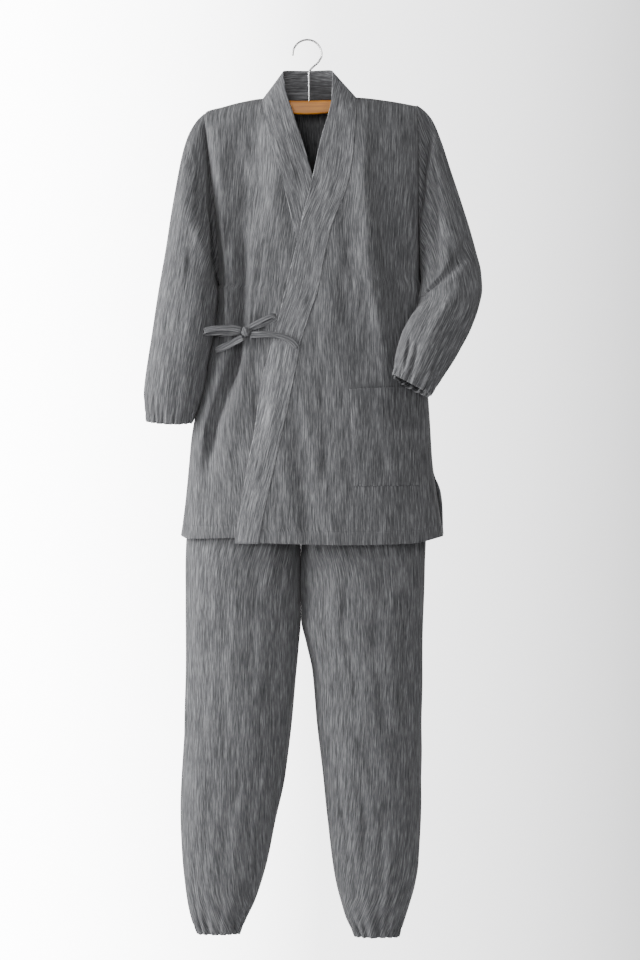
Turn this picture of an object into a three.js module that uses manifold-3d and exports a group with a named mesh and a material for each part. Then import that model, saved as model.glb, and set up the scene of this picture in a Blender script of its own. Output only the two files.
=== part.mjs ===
// A samue: wrap jacket and gathered trousers, hanging together on a wooden hanger.
// Millimetres, +Z up. The front of the cloth faces -Y and the wearer's left is +X.
// The origin is the inside of the hook's crown, where the hook rests on its rail.
// "drop" is always the distance below the origin, so z = -drop.
import * as THREE from 'three';
import { mergeVertices } from 'three/addons/utils/BufferGeometryUtils.js';
import Module from 'manifold-3d';

// ---------------------------------------------------------------- driving sizes
const SEAM = 0.3; // gap between two pieces that are sewn together
const CORNER_GAP = 1.25; // the same gap where the band turns the neck point
const CLOTH = 1.5; // wall of one layer of cloth
const BAND = 2.5; // wall of the collar band and the waistband, which are double

const SHOULDER_FALL = 150; // drop over which the cloth rounds off the hanger
const SHOULDER_ROUND = 1.6; // power of that rounding; 2 is a quarter circle
const BODY_SQUARE = 2.5; // superellipse power of the body's plan
const SLEEVE_SQUARE = 2.25; // superellipse power of a sleeve's section
const LEG_SQUARE = 2.3; // superellipse power of a trouser leg's section
const ARMHOLE_HALF_DEPTH = 22;
const ARMHOLE_GAP = 0.4;
const NECK_RIGHT = -78; // x of the neck point on the wearer's right
const NECK_LEFT = 86;
const NECK_HOLLOW = 86; // how far down the back neck sits on the rounding
const LAYER_SINK = 5.2; // how far the under front lies behind the outer one
const SINK_START = 62; // distance from the outer edge where it starts to sink
const SINK_END = 10;
const VENT_TOP = 743; // drop at which the side seams end
const VENT_HALF_GAP = 9;

const HOOK_RADIUS = 24.9;
const WIRE = 1.7; // radius of the hook's wire
const STEM_X = 2.8;
const BAR_THICK = 12;
const BAR_BEVEL = 3;
const BAR_BELOW_SHOULDER = 4.6;
const BAR_END_DIP = 3;
const BAR_ENDS = [-154, 169];
const BAR_HEIGHT = { middle: 24, end: 15 };
const STEM_HOLE = { clearance: 0.3, depth: 117 }; // the depth is a drop

const UNDERARM = 0.41; // share of a side line, from the shoulder, that the armhole takes
const RIDGE_ROW = 0.006; // share of a panel's height where its first row lies

// Side lines of the body: drop, x.
const RIGHT_SIDE = [
  [128, -179], [172, -173.5], [229, -167], [315, -158.6], [400, -152.6], [423.5, -152],
  [450, -155], [483, -162], [527, -168.5], [555, -175], [587, -181], [622, -187],
  [656, -195.5], [691, -201], [726, -204.2], [795, -210.7], [866, -219.5],
];
const LEFT_SIDE = [
  [113, 189.8], [172, 191.5], [241, 192.4], [310, 191.8], [380, 193.2], [449, 195],
  [518, 200.2], [587, 207.1], [656, 212.3], [726, 216.6], [795, 226], [866, 236.5],
];
// Ridge of the shoulders over the hanger: x, drop.
const SHOULDER = [
  [-179, 128], [-173, 121.8], [-147.6, 114.9], [-116, 106.5], [-78, 100], [-30, 98], [40, 97],
  [86, 98], [143, 104.5], [189.8, 113],
];
// Hems: x, drop.
const OUTER_HEM = [[-124, 865.7], [-30, 869], [65, 871], [180, 868], [236, 856]];
const UNDER_HEM = [[-219, 855], [-205, 860.5], [-116, 859], [90, 862]];
const BACK_HEM = [[-219, 853], [-190, 858], [0, 860], [200, 858], [236, 853]];
const RIGHT_ARMHOLE = { top: 128, bottom: 423.5 };
const LEFT_ARMHOLE = { top: 113, bottom: 417.6 };
// Depth of the body in front of and behind the shoulder line: drop, depth.
const FRONT_DEPTH = [[100, 68], [250, 72], [450, 76], [600, 80], [750, 86], [870, 92]];
const BACK_DEPTH = [[100, 48], [250, 48], [450, 50], [600, 54], [750, 61], [870, 68]];

// Seam between a front panel and the collar band: drop, x.
const OUTER_SEAM = [
  [98, 86], [120, 84.3], [146, 82.5], [172, 80.8], [206.6, 77.3], [241, 72.1], [265, 65.2],
  [296.5, 53.1], [328, 41], [380, 28.9], [440, 16.8], [480, 2.9], [520, -10], [587, -23],
  [653, -36.8], [712, -50.7], [767, -62.8], [817, -74.2], [866, -82.7],
];
const UNDER_SEAM = [
  [100, -78.4], [123.5, -74.9], [151, -69.7], [184, -61.1], [210, -53.3], [236, -45.5],
  [286, -32.5], [348, -17.8], [411, -2.2], [480, 13.3], [601, 41], [679, 53], [741, 64.4],
  [796, 73.9], [866, 86],
];
// Free edge of the collar band: drop, x.
const OUTER_EDGE = [
  [48, 44.5], [103, 42.4], [132, 36.2], [163, 27], [197, 19.2], [234, 11.4], [262, 5.4],
  [300, -5], [348, -15.1], [410, -31], [480, -47.7], [601, -79.4], [679, -90],
  [741, -102.6], [796, -111], [866, -123.5],
];
const UNDER_EDGE = [
  [51, -42.9], [94, -36.8], [117, -28.7], [151, -17.8], [182, -7.1], [216, 2.2], [236, 8.1],
  [286, 20.2], [348, 34.1], [411, 49.7], [480, 65.2], [601, 94.6], [679, 106.7],
  [741, 117.1], [796, 125.8], [866, 137.9],
];
// Which drop of the free edge lies square across from a drop of the seam.
const OUTER_SQUARE = [
  [98, 54], [120, 92], [146, 124], [172, 153], [206, 190], [241, 227], [296, 284],
  [380, 368], [587, 575], [767, 760], [868, 868],
];
const UNDER_SQUARE = [
  [100, 55], [123.5, 88], [151, 124], [184, 163], [210, 193], [236, 221], [286, 273],
  [348, 336], [480, 468], [740, 731], [862, 862],
];
// Depth of the free edge in front of the shoulder line near the neck: seam drop, y.
const NECK_EDGE_Y = [[98, -8], [123.5, -22], [151, -34], [184, -51], [215, -62]];
const EDGE_FREE_ABOVE = 150; // seam drop above which the free edge stands off the body
const EDGE_LIES_BELOW = 215; // seam drop below which it lies on the body
// Free edge of the band round the back neck: seam x, edge x, edge y, edge drop.
const BACK_NECK = [
  [-78.4, -43, -8, 55], [-66, -41.5, 11, 51], [-52, -34, 23, 49.5], [-36, -24, 30, 49],
  [4, 2, 34.5, 49], [44, 28, 30, 48.5], [60, 37, 23, 48.5], [74, 42.5, 11, 50],
  [86, 44.5, -8, 54],
];

// Soft folds of the front: route of [x, drop], depth inwards (a ridge is below
// zero) and half width.
const FRONT_FOLDS = [
  { route: [[-105, 250], [-112, 380], [-114, 505]], depth: 12, width: 13 },
  { route: [[-157, 190], [-148, 345], [-134, 500]], depth: -6, width: 15 },
  { route: [[-121, 525], [-142, 604], [-164, 691], [-178, 800]], depth: 7, width: 15 },
  { route: [[-140, 540], [-166, 622], [-184, 708], [-195, 835]], depth: -4, width: 12 },
  { route: [[132, 270], [152, 380], [172, 500]], depth: 11, width: 24 },
  { route: [[96, 180], [103, 380], [128, 500], [146, 560]], depth: -5, width: 18 },
  { route: [[-122, 155], [-124, 240]], depth: 4, width: 20 },
  { route: [[-20, 650], [-8, 740], [0, 860]], depth: 5, width: 15 },
  { route: [[40, 420], [46, 600]], depth: -3, width: 18 },
];
const BACK_FOLDS = [
  { route: [[5, 130], [5, 420]], depth: -9, width: 10 },
  { route: [[-96, 230], [-120, 480]], depth: 7, width: 20 },
  { route: [[112, 210], [128, 520]], depth: 8, width: 22 },
  { route: [[-70, 660], [-96, 850]], depth: 5, width: 20 },
  { route: [[88, 680], [104, 850]], depth: 5, width: 22 },
];

// Sleeves: x and drop of the outer line, x and drop of the inner line, half depth,
// y of the middle. The first ring is the armhole.
const RIGHT_SLEEVE = [
  [-180, 126.5, -153, 425.1, 23.5, 0],
  [-192, 138.5, -155, 427.5, 26, -2],
  [-206, 164, -155.2, 430.5, 32, -7],
  [-216, 200, -153.9, 436, 38, -17],
  [-227, 258, -153, 446, 42, -24],
  [-239, 328, -155, 470, 45, -25],
  [-251.5, 405.5, -158.3, 498, 46, -28],
  [-263.5, 483.5, -163.8, 527, 46, -29],
  [-274, 556, -174, 570, 44, -28],
  [-279, 594, -178, 598, 41, -27],
  [-280.8, 613, -182, 615, 38, -26],
  [-279.5, 632, -188, 634, 33, -25],
  [-275.5, 657, -199, 660, 28, -24],
];
const LEFT_SLEEVE = [
  [191, 111.5, 194, 419.2, 23.5, 0],
  [203, 120, 195.6, 421.5, 26, -5],
  [218, 139, 195.4, 425.5, 31, -9],
  [232, 175, 194.6, 431, 37, -14],
  [247, 224, 193.6, 436, 42, -19],
  [264, 276, 192.6, 440, 45, -23],
  [280, 328, 191.8, 445, 47, -26],
  [291.5, 371, 191.6, 449, 49, -27],
  [298.5, 400, 191, 454, 50, -33],
  [300.5, 431.5, 190.5, 459, 49, -42],
  [295.5, 459, 187, 466, 46, -56],
  [283.5, 494, 178, 479, 42, -73],
  [266, 530, 164, 504, 38, -90],
  [247, 561, 154, 535, 35, -102.5],
  [235, 579, 150, 551, 33, -108],
  [221, 600, 147.5, 568, 30, -113],
  [209.5, 615, 146, 581, 27, -115],
];
const SLEEVE_SEGMENTS = 22; // the number doubles where the cuff is gathered
const SLEEVE_GATHER_RINGS = 3;
const SLEEVE_GATHERS = 15;
const GATHER_HEIGHT = 2.2;

// Trouser legs: drop, x of the outer line, x of the inner line, depth in front,
// depth behind. Above the crotch the inner line is the seam between the legs.
const CROTCH = 850;
const HIP_HEIGHT = 130; // height above the crotch where the two legs are one oval
const LEG_GAP = 0.2; // half of the slit at the leg's seams
const RIGHT_LEG = [
  [600, -160.5, -3, 50, 51.3], [645, -175.5, -4, 55, 50.6], [691, -187.4, -6, 58, 50],
  [740, -196.5, -7.5, 61, 50], [795, -204.5, -9.2, 64, 51], [832, -207.5, -10.5, 65, 52],
  [850, -208.3, -10.9, 66, 53], [868, -209, -11.3, 66, 54], [920, -209.8, -11.6, 66, 60],
  [1000, -209.8, -12.6, 65, 62], [1042, -210, -14.8, 64.5, 61], [1090, -210.6, -18.5, 64, 60],
  [1180, -213, -26.5, 62, 58],
  [1270, -216.7, -38, 58, 54], [1350, -218.7, -55, 54, 50], [1415, -216.8, -68, 49, 45],
  [1460, -212, -81, 44, 41], [1490, -207, -92, 41, 38], [1516, -200.5, -105, 38, 36],
  [1531, -195, -112, 36, 35], [1543, -189, -118, 34, 34],
];
const LEFT_LEG = [
  [600, 160, -3, 50, 51.3], [645, 175, -4, 55, 50.6], [691, 186.3, -6, 58, 50],
  [740, 195.5, -7.5, 61, 50], [795, 201.9, -9.2, 64, 51], [832, 204.3, -10.5, 65, 52],
  [850, 205, -10.9, 66, 53], [868, 205.4, -10.5, 66, 54], [920, 204, -10, 66, 60],
  [1000, 201.7, -7.6, 65, 62], [1042, 200, 1, 64.5, 61], [1090, 198.4, 8.4, 64, 60],
  [1180, 197.7, 16.4, 62, 58],
  [1270, 197, 27, 58, 54], [1350, 196, 35.2, 54, 50], [1415, 193.5, 43, 49, 45],
  [1460, 186, 50.5, 44, 41], [1490, 178, 58.5, 41, 38], [1516, 169.5, 66.5, 38, 36],
  [1531, 164.5, 73.5, 36, 35], [1548, 159, 82, 34, 34],
];
const LEG_SEGMENTS = 24; // the number doubles where the ankle is gathered
const LEG_GATHER_RINGS = 3;
const LEG_GATHERS = 17;
const WAIST = { top: 565, halfWidth: 145.5, middle: -2, front: 47, back: 50.8 };

// Pocket on the outer front: corners as [x, drop].
const POCKET = {
  topOuter: [72.8, 605], topSide: [196, 600], lowOuter: [80.8, 770.5], lowSide: [193, 769],
  gap: 0.9, fullness: 2.5,
};

// Ties: route of [x, y, drop], width, thickness, and the direction across the
// strip as [x, z].
const KNOT = { x: -105, y: -72.5, drop: 507, half: [7.5, 6, 8.5] };
const TIES = {
  tie_front: {
    width: 11, thick: 1.6, across: [0.3, 1],
    route: [
      [-16.5, -80.3, 534], [-24, -80.1, 525.5], [-36, -79.7, 518], [-50, -79.2, 513.5],
      [-64, -79, 511.5], [-80, -78, 511.5], [-97, -74, 511.5],
    ],
  },
  bow_loop_left: {
    width: 10, thick: 1.6, across: [0, 1],
    route: [
      [-112.8, -74.5, 502.5], [-126, -75.5, 500.5], [-145, -76.5, 500.5], [-162, -76, 502],
      [-173.5, -74.5, 504.5], [-175.5, -72, 507], [-170, -70, 508], [-152, -70, 507],
      [-132, -70.5, 505.5], [-112.8, -71.5, 504],
    ],
  },
  tie_side: {
    width: 10, thick: 1.6, across: [0, 1],
    route: [
      [-153.5, -41, 510], [-150.5, -47, 509.5], [-146, -52.5, 509], [-139, -57.5, 508.5],
      [-128, -62, 508], [-112.6, -65.5, 507],
    ],
  },
  bow_loop_right: {
    width: 8, thick: 1.6, across: [-0.45, 0.9],
    route: [
      [-99.2, -74.2, 498.8], [-86, -78.2, 492], [-72, -81.6, 484.5], [-61, -82.6, 480],
      [-54.5, -81.8, 480.5], [-54.5, -79.8, 484], [-64, -78.5, 488.5], [-80, -76.4, 495.5],
      [-97.6, -71, 501],
    ],
  },
  bow_tail: {
    width: 12, thick: 1.6, across: [-0.5, 1],
    route: [
      [-110, -71, 516.2], [-120, -67.5, 521], [-131, -63.5, 527], [-144, -59, 533],
      [-157, -51.5, 537.5],
    ],
  },
};

// Mesh sizes: cells across and down.
const FRONT_CELLS = { across: 13, above: 9, below: 8, spread: 1.5 };
const BACK_CELLS = { shoulder: 6, neck: 10, above: 8, below: 6, spread: 1.5 };
const COLLAR_CELLS = 3;
const POCKET_CELLS = { across: 6, down: 6 };

// ---------------------------------------------------------------- helpers
const clamp = (value, low, high) => Math.min(Math.max(value, low), high);
const mix = (a, b, share) => a + (b - a) * share;

function smooth(value) {
  const t = clamp(value, 0, 1);
  return t * t * (3 - 2 * t);
}

// Monotone cubic through rows of [at, ...values], sorted by the first column.
function curve(rows, at, column = 1) {
  const last = rows.length - 1;
  const place = clamp(at, rows[0][0], rows[last][0]);
  let k = 0;
  while (k < last - 1 && place > rows[k + 1][0]) k += 1;
  const slope = (i) => (rows[i + 1][column] - rows[i][column]) / (rows[i + 1][0] - rows[i][0]);
  const tangent = (i) => {
    if (i === 0) return slope(0);
    if (i === last) return slope(last - 1);
    const before = slope(i - 1);
    const after = slope(i);
    return before * after <= 0 ? 0 : (2 * before * after) / (before + after);
  };
  const span = rows[k + 1][0] - rows[k][0];
  const t = (place - rows[k][0]) / span;
  const a = rows[k][column];
  const b = rows[k + 1][column];
  return (
    a * (1 + 2 * t) * (1 - t) ** 2 + b * t * t * (3 - 2 * t) +
    span * t * (1 - t) * (tangent(k) * (1 - t) - tangent(k + 1) * t)
  );
}

function signedPower(value, power) {
  return Math.sign(value) * Math.abs(value) ** power;
}

// Share of a soft fold at [x, drop]: 1 on its route, fading sideways and at its ends.
function foldDepth(folds, x, drop) {
  let total = 0;
  for (const fold of folds) {
    const first = fold.route[0][1];
    const last = fold.route[fold.route.length - 1][1];
    const along = (drop - first) / (last - first);
    const fade = smooth((along + 0.25) / 0.5) * smooth((1.25 - along) / 0.5);
    if (fade > 0) {
      const middle = curve(fold.route.map(([a, b]) => [b, a]), drop);
      total += fold.depth * fade * Math.exp(-(((x - middle) / fold.width) ** 2));
    }
  }
  return total;
}

// Solid of even thickness behind an outer surface. Points and normals are Vector3
// lists, and triangles index them. wall is one thickness, or one for each point.
// Every open edge of the surface gets a rim.
function thicken(points, normals, triangles, wall) {
  const wallAt = (i) => (Array.isArray(wall) ? wall[i] : wall);
  const count = points.length;
  const positions = [];
  for (const p of points) positions.push(p.x, p.y, p.z);
  points.forEach((p, i) => {
    const inner = p.clone().addScaledVector(normals[i], -wallAt(i));
    positions.push(inner.x, inner.y, inner.z);
  });
  const index = [];
  const edges = new Set();
  for (const [a, b, c] of triangles) {
    index.push(a, b, c, count + a, count + c, count + b);
    for (const [p, q] of [[a, b], [b, c], [c, a]]) edges.add(p * count + q);
  }
  for (const edge of edges) {
    const p = Math.floor(edge / count);
    const q = edge % count;
    if (!edges.has(q * count + p)) {
      index.push(q, p, count + p, q, count + p, count + q);
    }
  }
  const geometry = new THREE.BufferGeometry();
  geometry.setAttribute('position', new THREE.Float32BufferAttribute(positions, 3));
  geometry.setIndex(index);
  return geometry;
}

function vertexNormals(points, triangles) {
  const normals = points.map(() => new THREE.Vector3());
  const ab = new THREE.Vector3();
  const ac = new THREE.Vector3();
  for (const [a, b, c] of triangles) {
    ab.subVectors(points[b], points[a]);
    ac.subVectors(points[c], points[a]);
    ab.cross(ac);
    for (const corner of [a, b, c]) normals[corner].add(ab);
  }
  return normals.map((normal) => normal.normalize());
}

// Triangles over rows of vertex numbers. The outside shows when the rows run down
// and the columns run to the right. A row may have twice as many cells as the last.
function weave(rows) {
  const triangles = [];
  for (let i = 0; i + 1 < rows.length; i += 1) {
    const upper = rows[i];
    const lower = rows[i + 1];
    if (upper.length === lower.length) {
      for (let j = 0; j + 1 < upper.length; j += 1) {
        triangles.push([upper[j], lower[j], lower[j + 1]], [upper[j], lower[j + 1], upper[j + 1]]);
      }
    } else {
      for (let j = 0; j + 1 < upper.length; j += 1) {
        const middle = lower[2 * j + 1];
        triangles.push([upper[j], lower[2 * j], middle], [upper[j], middle, upper[j + 1]]);
        triangles.push([upper[j + 1], middle, lower[2 * j + 2]]);
      }
    }
  }
  return triangles;
}

// Rows of vertex numbers for rows of points. A closed row ends on its first vertex.
function numberRows(grid, closed) {
  let next = 0;
  return grid.map((row) => {
    const numbers = row.map(() => next++);
    if (closed) numbers.push(numbers[0]);
    return numbers;
  });
}

// Flattens a normal against one axis, for rims that face a neighbour across a seam.
function flatten(normal, axis) {
  normal[axis] = 0;
  return normal.normalize();
}

// ---------------------------------------------------------------- body surface
const rightSide = (drop) => curve(RIGHT_SIDE, drop);
const leftSide = (drop) => curve(LEFT_SIDE, drop);
const shoulderDrop = (x) => curve(SHOULDER, x);

// Half of the open depth at the side: the armhole above, the vent below.
function sideOpening(armhole, drop) {
  const middle = (armhole.top + armhole.bottom) / 2;
  const half = (armhole.bottom - armhole.top) / 2;
  const around = 1 - ((drop - middle) / half) ** 2;
  if (around > 0) return SEAM / 2 + ARMHOLE_HALF_DEPTH * Math.sqrt(around);
  return SEAM / 2 + VENT_HALF_GAP * smooth((drop - VENT_TOP) / 130);
}

// Share of the full depth reached at a height below the shoulder ridge.
function roundOff(height) {
  const t = clamp(height / SHOULDER_FALL, 0, 1);
  return (1 - (1 - t) ** SHOULDER_ROUND) ** (1 / SHOULDER_ROUND);
}

function bodyDepth(x, drop, depth, height) {
  const left = leftSide(drop);
  const right = rightSide(drop);
  const middle = (left + right) / 2;
  const across = clamp(Math.abs(x - middle) / ((left - right) / 2), 0, 1);
  const swell = (1 - across ** BODY_SQUARE) ** (1 / BODY_SQUARE);
  const edge = sideOpening(x < middle ? RIGHT_ARMHOLE : LEFT_ARMHOLE, drop);
  const full = Math.max(curve(depth, drop) * roundOff(height), edge);
  return edge + (full - edge) * swell;
}

// Folds fade out on the shoulder ridge and at the sides.
function foldRoom(x, drop) {
  const side = Math.min(x - rightSide(drop), leftSide(drop) - x);
  return smooth((drop - shoulderDrop(x)) / 60) * smooth(side / 16);
}

function frontPoint(x, drop) {
  const depth = bodyDepth(x, drop, FRONT_DEPTH, drop - shoulderDrop(x));
  const fold = foldDepth(FRONT_FOLDS, x, drop) * foldRoom(x, drop);
  return new THREE.Vector3(x, fold - depth, -drop);
}

// The back neck stands behind the shoulder line in a half oval.
function backPoint(x, drop) {
  const middle = (NECK_LEFT + NECK_RIGHT) / 2;
  const across = Math.abs(x - middle) / ((NECK_LEFT - NECK_RIGHT) / 2);
  const hollow = across < 1 ? NECK_HOLLOW * (1 - across ** 2) ** 0.8 : 0;
  const depth = bodyDepth(x, drop, BACK_DEPTH, drop - shoulderDrop(x) + hollow);
  const fold = foldDepth(BACK_FOLDS, x, drop) * foldRoom(x, drop);
  return new THREE.Vector3(x, depth - fold, -drop);
}

// How far the under layers lie behind the outer ones.
function sink(x, drop) {
  const edge = curve(OUTER_EDGE, drop);
  return LAYER_SINK * smooth((x - edge + SINK_START) / (SINK_START - SINK_END));
}

function underPoint(x, drop) {
  const point = frontPoint(x, drop);
  point.y += sink(x, drop);
  return point;
}

// A point lifted off the outer front, square to its surface.
function liftedPoint(x, drop, lift) {
  const step = 4;
  const here = frontPoint(x, drop);
  const right = frontPoint(x + step, drop).sub(frontPoint(x - step, drop));
  const down = frontPoint(x, drop + step).sub(frontPoint(x, drop - step));
  const normal = down.cross(right).normalize();
  return here.addScaledVector(normal, lift);
}

// Shares of a panel's height at which its rows lie: close together under the
// shoulder ridge, and one at the underarm.
function rowShares({ above, below, spread }) {
  const shares = [0, RIDGE_ROW];
  for (let i = 1; i <= above; i += 1) shares.push(UNDERARM * (i / above) ** spread);
  for (let i = 1; i <= below; i += 1) shares.push(mix(UNDERARM, 1, i / below));
  return shares;
}

// Rows of points between two edge lines x(drop) and two end lines drop(x).
function panelRows(shares, cells, edges, ends, pointAt) {
  return rowShares(cells).map((along) => shares.map((share) => {
    let x = 0;
    let drop = ends[0](x);
    for (let turn = 0; turn < 30; turn += 1) {
      drop = mix(ends[0](x), ends[1](x), along);
      x = mix(edges[0](drop), edges[1](drop), share);
    }
    return pointAt(x, drop);
  }));
}

function evenShares(cells) {
  return Array.from({ length: cells + 1 }, (_, j) => j / cells);
}

// Builds the solid of a body panel. Returns its outer rows and normals too, because
// the collar band is sewn to its edge.
function bodyPanel(rows, sideColumns) {
  const numbers = numberRows(rows, false);
  const points = rows.flat();
  const triangles = weave(numbers);
  const normals = vertexNormals(points, triangles);
  numbers[0].forEach((vertex) => {
    if (Math.abs(points[vertex].y) < 1) flatten(normals[vertex], 'y');
  });
  for (const row of numbers) {
    for (const column of sideColumns) {
      const vertex = row[column < 0 ? row.length + column : column];
      flatten(normals[vertex], 'y');
    }
  }
  return { geometry: thicken(points, normals, triangles, CLOTH), rows, numbers, normals };
}

const outerFront = bodyPanel(
  panelRows(
    evenShares(FRONT_CELLS.across), FRONT_CELLS,
    [(drop) => curve(OUTER_SEAM, drop), leftSide],
    [shoulderDrop, (x) => curve(OUTER_HEM, x)], frontPoint,
  ), [-1],
);
const underFront = bodyPanel(
  panelRows(
    evenShares(FRONT_CELLS.across), FRONT_CELLS,
    [rightSide, (drop) => curve(UNDER_SEAM, drop)],
    [shoulderDrop, (x) => curve(UNDER_HEM, x)], underPoint,
  ), [0],
);

// The back's columns run from the wearer's left to the right, so that its outside
// faces +Y. The neck points fall on columns, and these are closest beside them.
function backShares() {
  const whole = LEFT_SIDE[0][1] - RIGHT_SIDE[0][1];
  const neckFrom = (LEFT_SIDE[0][1] - NECK_LEFT) / whole;
  const neckTo = (LEFT_SIDE[0][1] - NECK_RIGHT) / whole;
  const { shoulder, neck } = BACK_CELLS;
  const shares = [];
  for (let j = 0; j < shoulder; j += 1) shares.push(mix(0, neckFrom, j / shoulder));
  for (let j = 0; j < neck; j += 1) {
    shares.push(mix(neckFrom, neckTo, (1 - Math.cos((Math.PI * j) / neck)) / 2));
  }
  for (let j = 0; j <= shoulder; j += 1) shares.push(mix(neckTo, 1, j / shoulder));
  return shares;
}
const back = bodyPanel(
  panelRows(
    backShares(), BACK_CELLS,
    [leftSide, rightSide], [shoulderDrop, (x) => curve(BACK_HEM, x)], backPoint,
  ), [0, -1],
);

// ---------------------------------------------------------------- collar band
// One station is a row of points from the seam to the free edge.
function collarStation(seam, seamNormal, seamWall, edge, lieOn) {
  const row = [];
  for (let c = 0; c <= COLLAR_CELLS; c += 1) {
    const share = c / COLLAR_CELLS;
    const point = seam.clone().lerp(edge, share);
    if (lieOn && c > 0) point.y = mix(point.y, lieOn.surface(point.x, -point.z), lieOn.share);
    row.push(point);
  }
  return { row, seamNormal, seamWall };
}

// Moves a point off the edge it is sewn to: within the cloth, square to the seam.
function acrossSeam(sewn, inside, before, after, normal, gap = SEAM * 1.1) {
  const away = sewn.clone().sub(inside);
  const seam = after.clone().sub(before).normalize();
  away.addScaledVector(seam, -away.dot(seam)).addScaledVector(normal, -away.dot(normal));
  return sewn.clone().addScaledVector(away.normalize(), gap);
}

function frontStations(panel, column, edgeLine, squareLine, surface, lift) {
  const last = panel.rows.length - 1;
  const edgeColumn = column < 0 ? panel.rows[0].length - 1 : 0;
  const insideColumn = column < 0 ? edgeColumn - 1 : 1;
  return panel.rows.map((row, i) => {
    const sewn = row[edgeColumn];
    const normal = panel.normals[panel.numbers[i][edgeColumn]].clone();
    const before = panel.rows[Math.max(i - 1, 0)][edgeColumn];
    const after = panel.rows[Math.min(i + 1, last)][edgeColumn];
    const drop = -sewn.z;
    const edgeDrop = i === last ? drop : Math.min(curve(squareLine, drop), drop);
    const edgeX = curve(edgeLine, edgeDrop);
    const lies = smooth((drop - EDGE_FREE_ABOVE) / (EDGE_LIES_BELOW - EDGE_FREE_ABOVE));
    const edgeY = mix(curve(NECK_EDGE_Y, drop), surface(edgeX, edgeDrop).y, lies);
    const seam = acrossSeam(sewn, row[insideColumn], before, after, normal);
    const out = lift * smooth((drop - 105) / 60);
    seam.addScaledVector(normal, out);
    const edge = new THREE.Vector3(edgeX, edgeY - out, -edgeDrop);
    const lieOn = { share: lies, surface: (x, d) => surface(x, d).y - out };
    return collarStation(seam, normal, CLOTH + out, edge, lieOn);
  });
}

function neckStations() {
  const first = BACK_CELLS.shoulder + 1;
  const last = BACK_CELLS.shoulder + BACK_CELLS.neck - 1;
  const stations = [];
  for (let j = first; j <= last; j += 1) {
    const sewn = back.rows[0][j];
    const normal = back.normals[back.numbers[0][j]].clone();
    const gap = j === first || j === last ? CORNER_GAP : SEAM * 1.1;
    const seam = acrossSeam(
      sewn, back.rows[1][j], back.rows[0][j - 1], back.rows[0][j + 1], normal, gap,
    );
    const edge = new THREE.Vector3(
      curve(BACK_NECK, sewn.x), curve(BACK_NECK, sewn.x, 2), -curve(BACK_NECK, sewn.x, 3),
    );
    stations.push(collarStation(seam, normal, CLOTH, edge));
  }
  return stations;
}

function collarGeometry() {
  const outer = frontStations(outerFront, 0, OUTER_EDGE, OUTER_SQUARE, frontPoint, 1);
  const under = frontStations(underFront, -1, UNDER_EDGE, UNDER_SQUARE, underPoint, 0.2);
  for (const end of [outer[0], under[0]]) end.row[0].z += CORNER_GAP;
  const stations = [...outer.reverse(), ...neckStations(), ...under];
  const grid = stations.map((station) => station.row);
  const numbers = numberRows(grid, false);
  const points = grid.flat();
  const triangles = weave(numbers);
  const normals = vertexNormals(points, triangles);
  const walls = points.map(() => BAND);
  stations.forEach((station, i) => {
    normals[numbers[i][0]].copy(station.seamNormal);
    walls[numbers[i][0]] = station.seamWall;
  });
  return thicken(points, normals, triangles, walls);
}

// ---------------------------------------------------------------- sleeves
// Bumps round a gathered edge, uneven in width and height.
function gatherBump(angle, gathers, phase) {
  const wave = Math.sin(gathers * angle + 0.8 * Math.sin(3 * angle + phase));
  return wave * (0.75 + 0.25 * Math.sin(2 * angle + 2 * phase));
}

// outward is +1 where +X is the outer line and -1 where it is the inner line.
function sleeveGeometry(table, outward, armholeX, phase) {
  const [topX, topDrop, lowX, lowDrop] = table[0];
  const rings = table.map(([outX, outDrop, inX, inDrop, depth, middleY], k) => {
    const gatherRing = k - (table.length - SLEEVE_GATHER_RINGS);
    const segments = gatherRing >= 0 ? SLEEVE_SEGMENTS * 2 : SLEEVE_SEGMENTS;
    const height = gatherRing >= 0 ? (GATHER_HEIGHT * (gatherRing + 1)) / SLEEVE_GATHER_RINGS : 0;
    const middle = new THREE.Vector3((outX + inX) / 2, middleY, -(outDrop + inDrop) / 2);
    const half = new THREE.Vector3((outX - inX) / 2, 0, -(outDrop - inDrop) / 2);
    half.multiplyScalar(outward);
    const power = 2 / mix(2, SLEEVE_SQUARE, smooth(k / 3));
    const onBody = 1 - smooth(k / 3);
    return Array.from({ length: segments }, (_, j) => {
      const angle = (2 * Math.PI * j) / segments;
      const point = middle.clone();
      point.addScaledVector(half, signedPower(Math.cos(angle), power));
      point.y += depth * signedPower(Math.sin(angle), power);
      const chordX = mix(topX, lowX, (-point.z - topDrop) / (lowDrop - topDrop));
      point.x += onBody * (armholeX(-point.z) + outward * ARMHOLE_GAP - chordX);
      const away = point.clone().sub(middle).normalize();
      return point.addScaledVector(away, height * gatherBump(angle, SLEEVE_GATHERS, phase));
    });
  });
  const numbers = numberRows(rings, true);
  const points = rings.flat();
  const triangles = weave(numbers);
  const normals = vertexNormals(points, triangles);
  for (const vertex of numbers[0]) flatten(normals[vertex], 'x');
  return thicken(points, normals, triangles, CLOTH);
}

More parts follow.
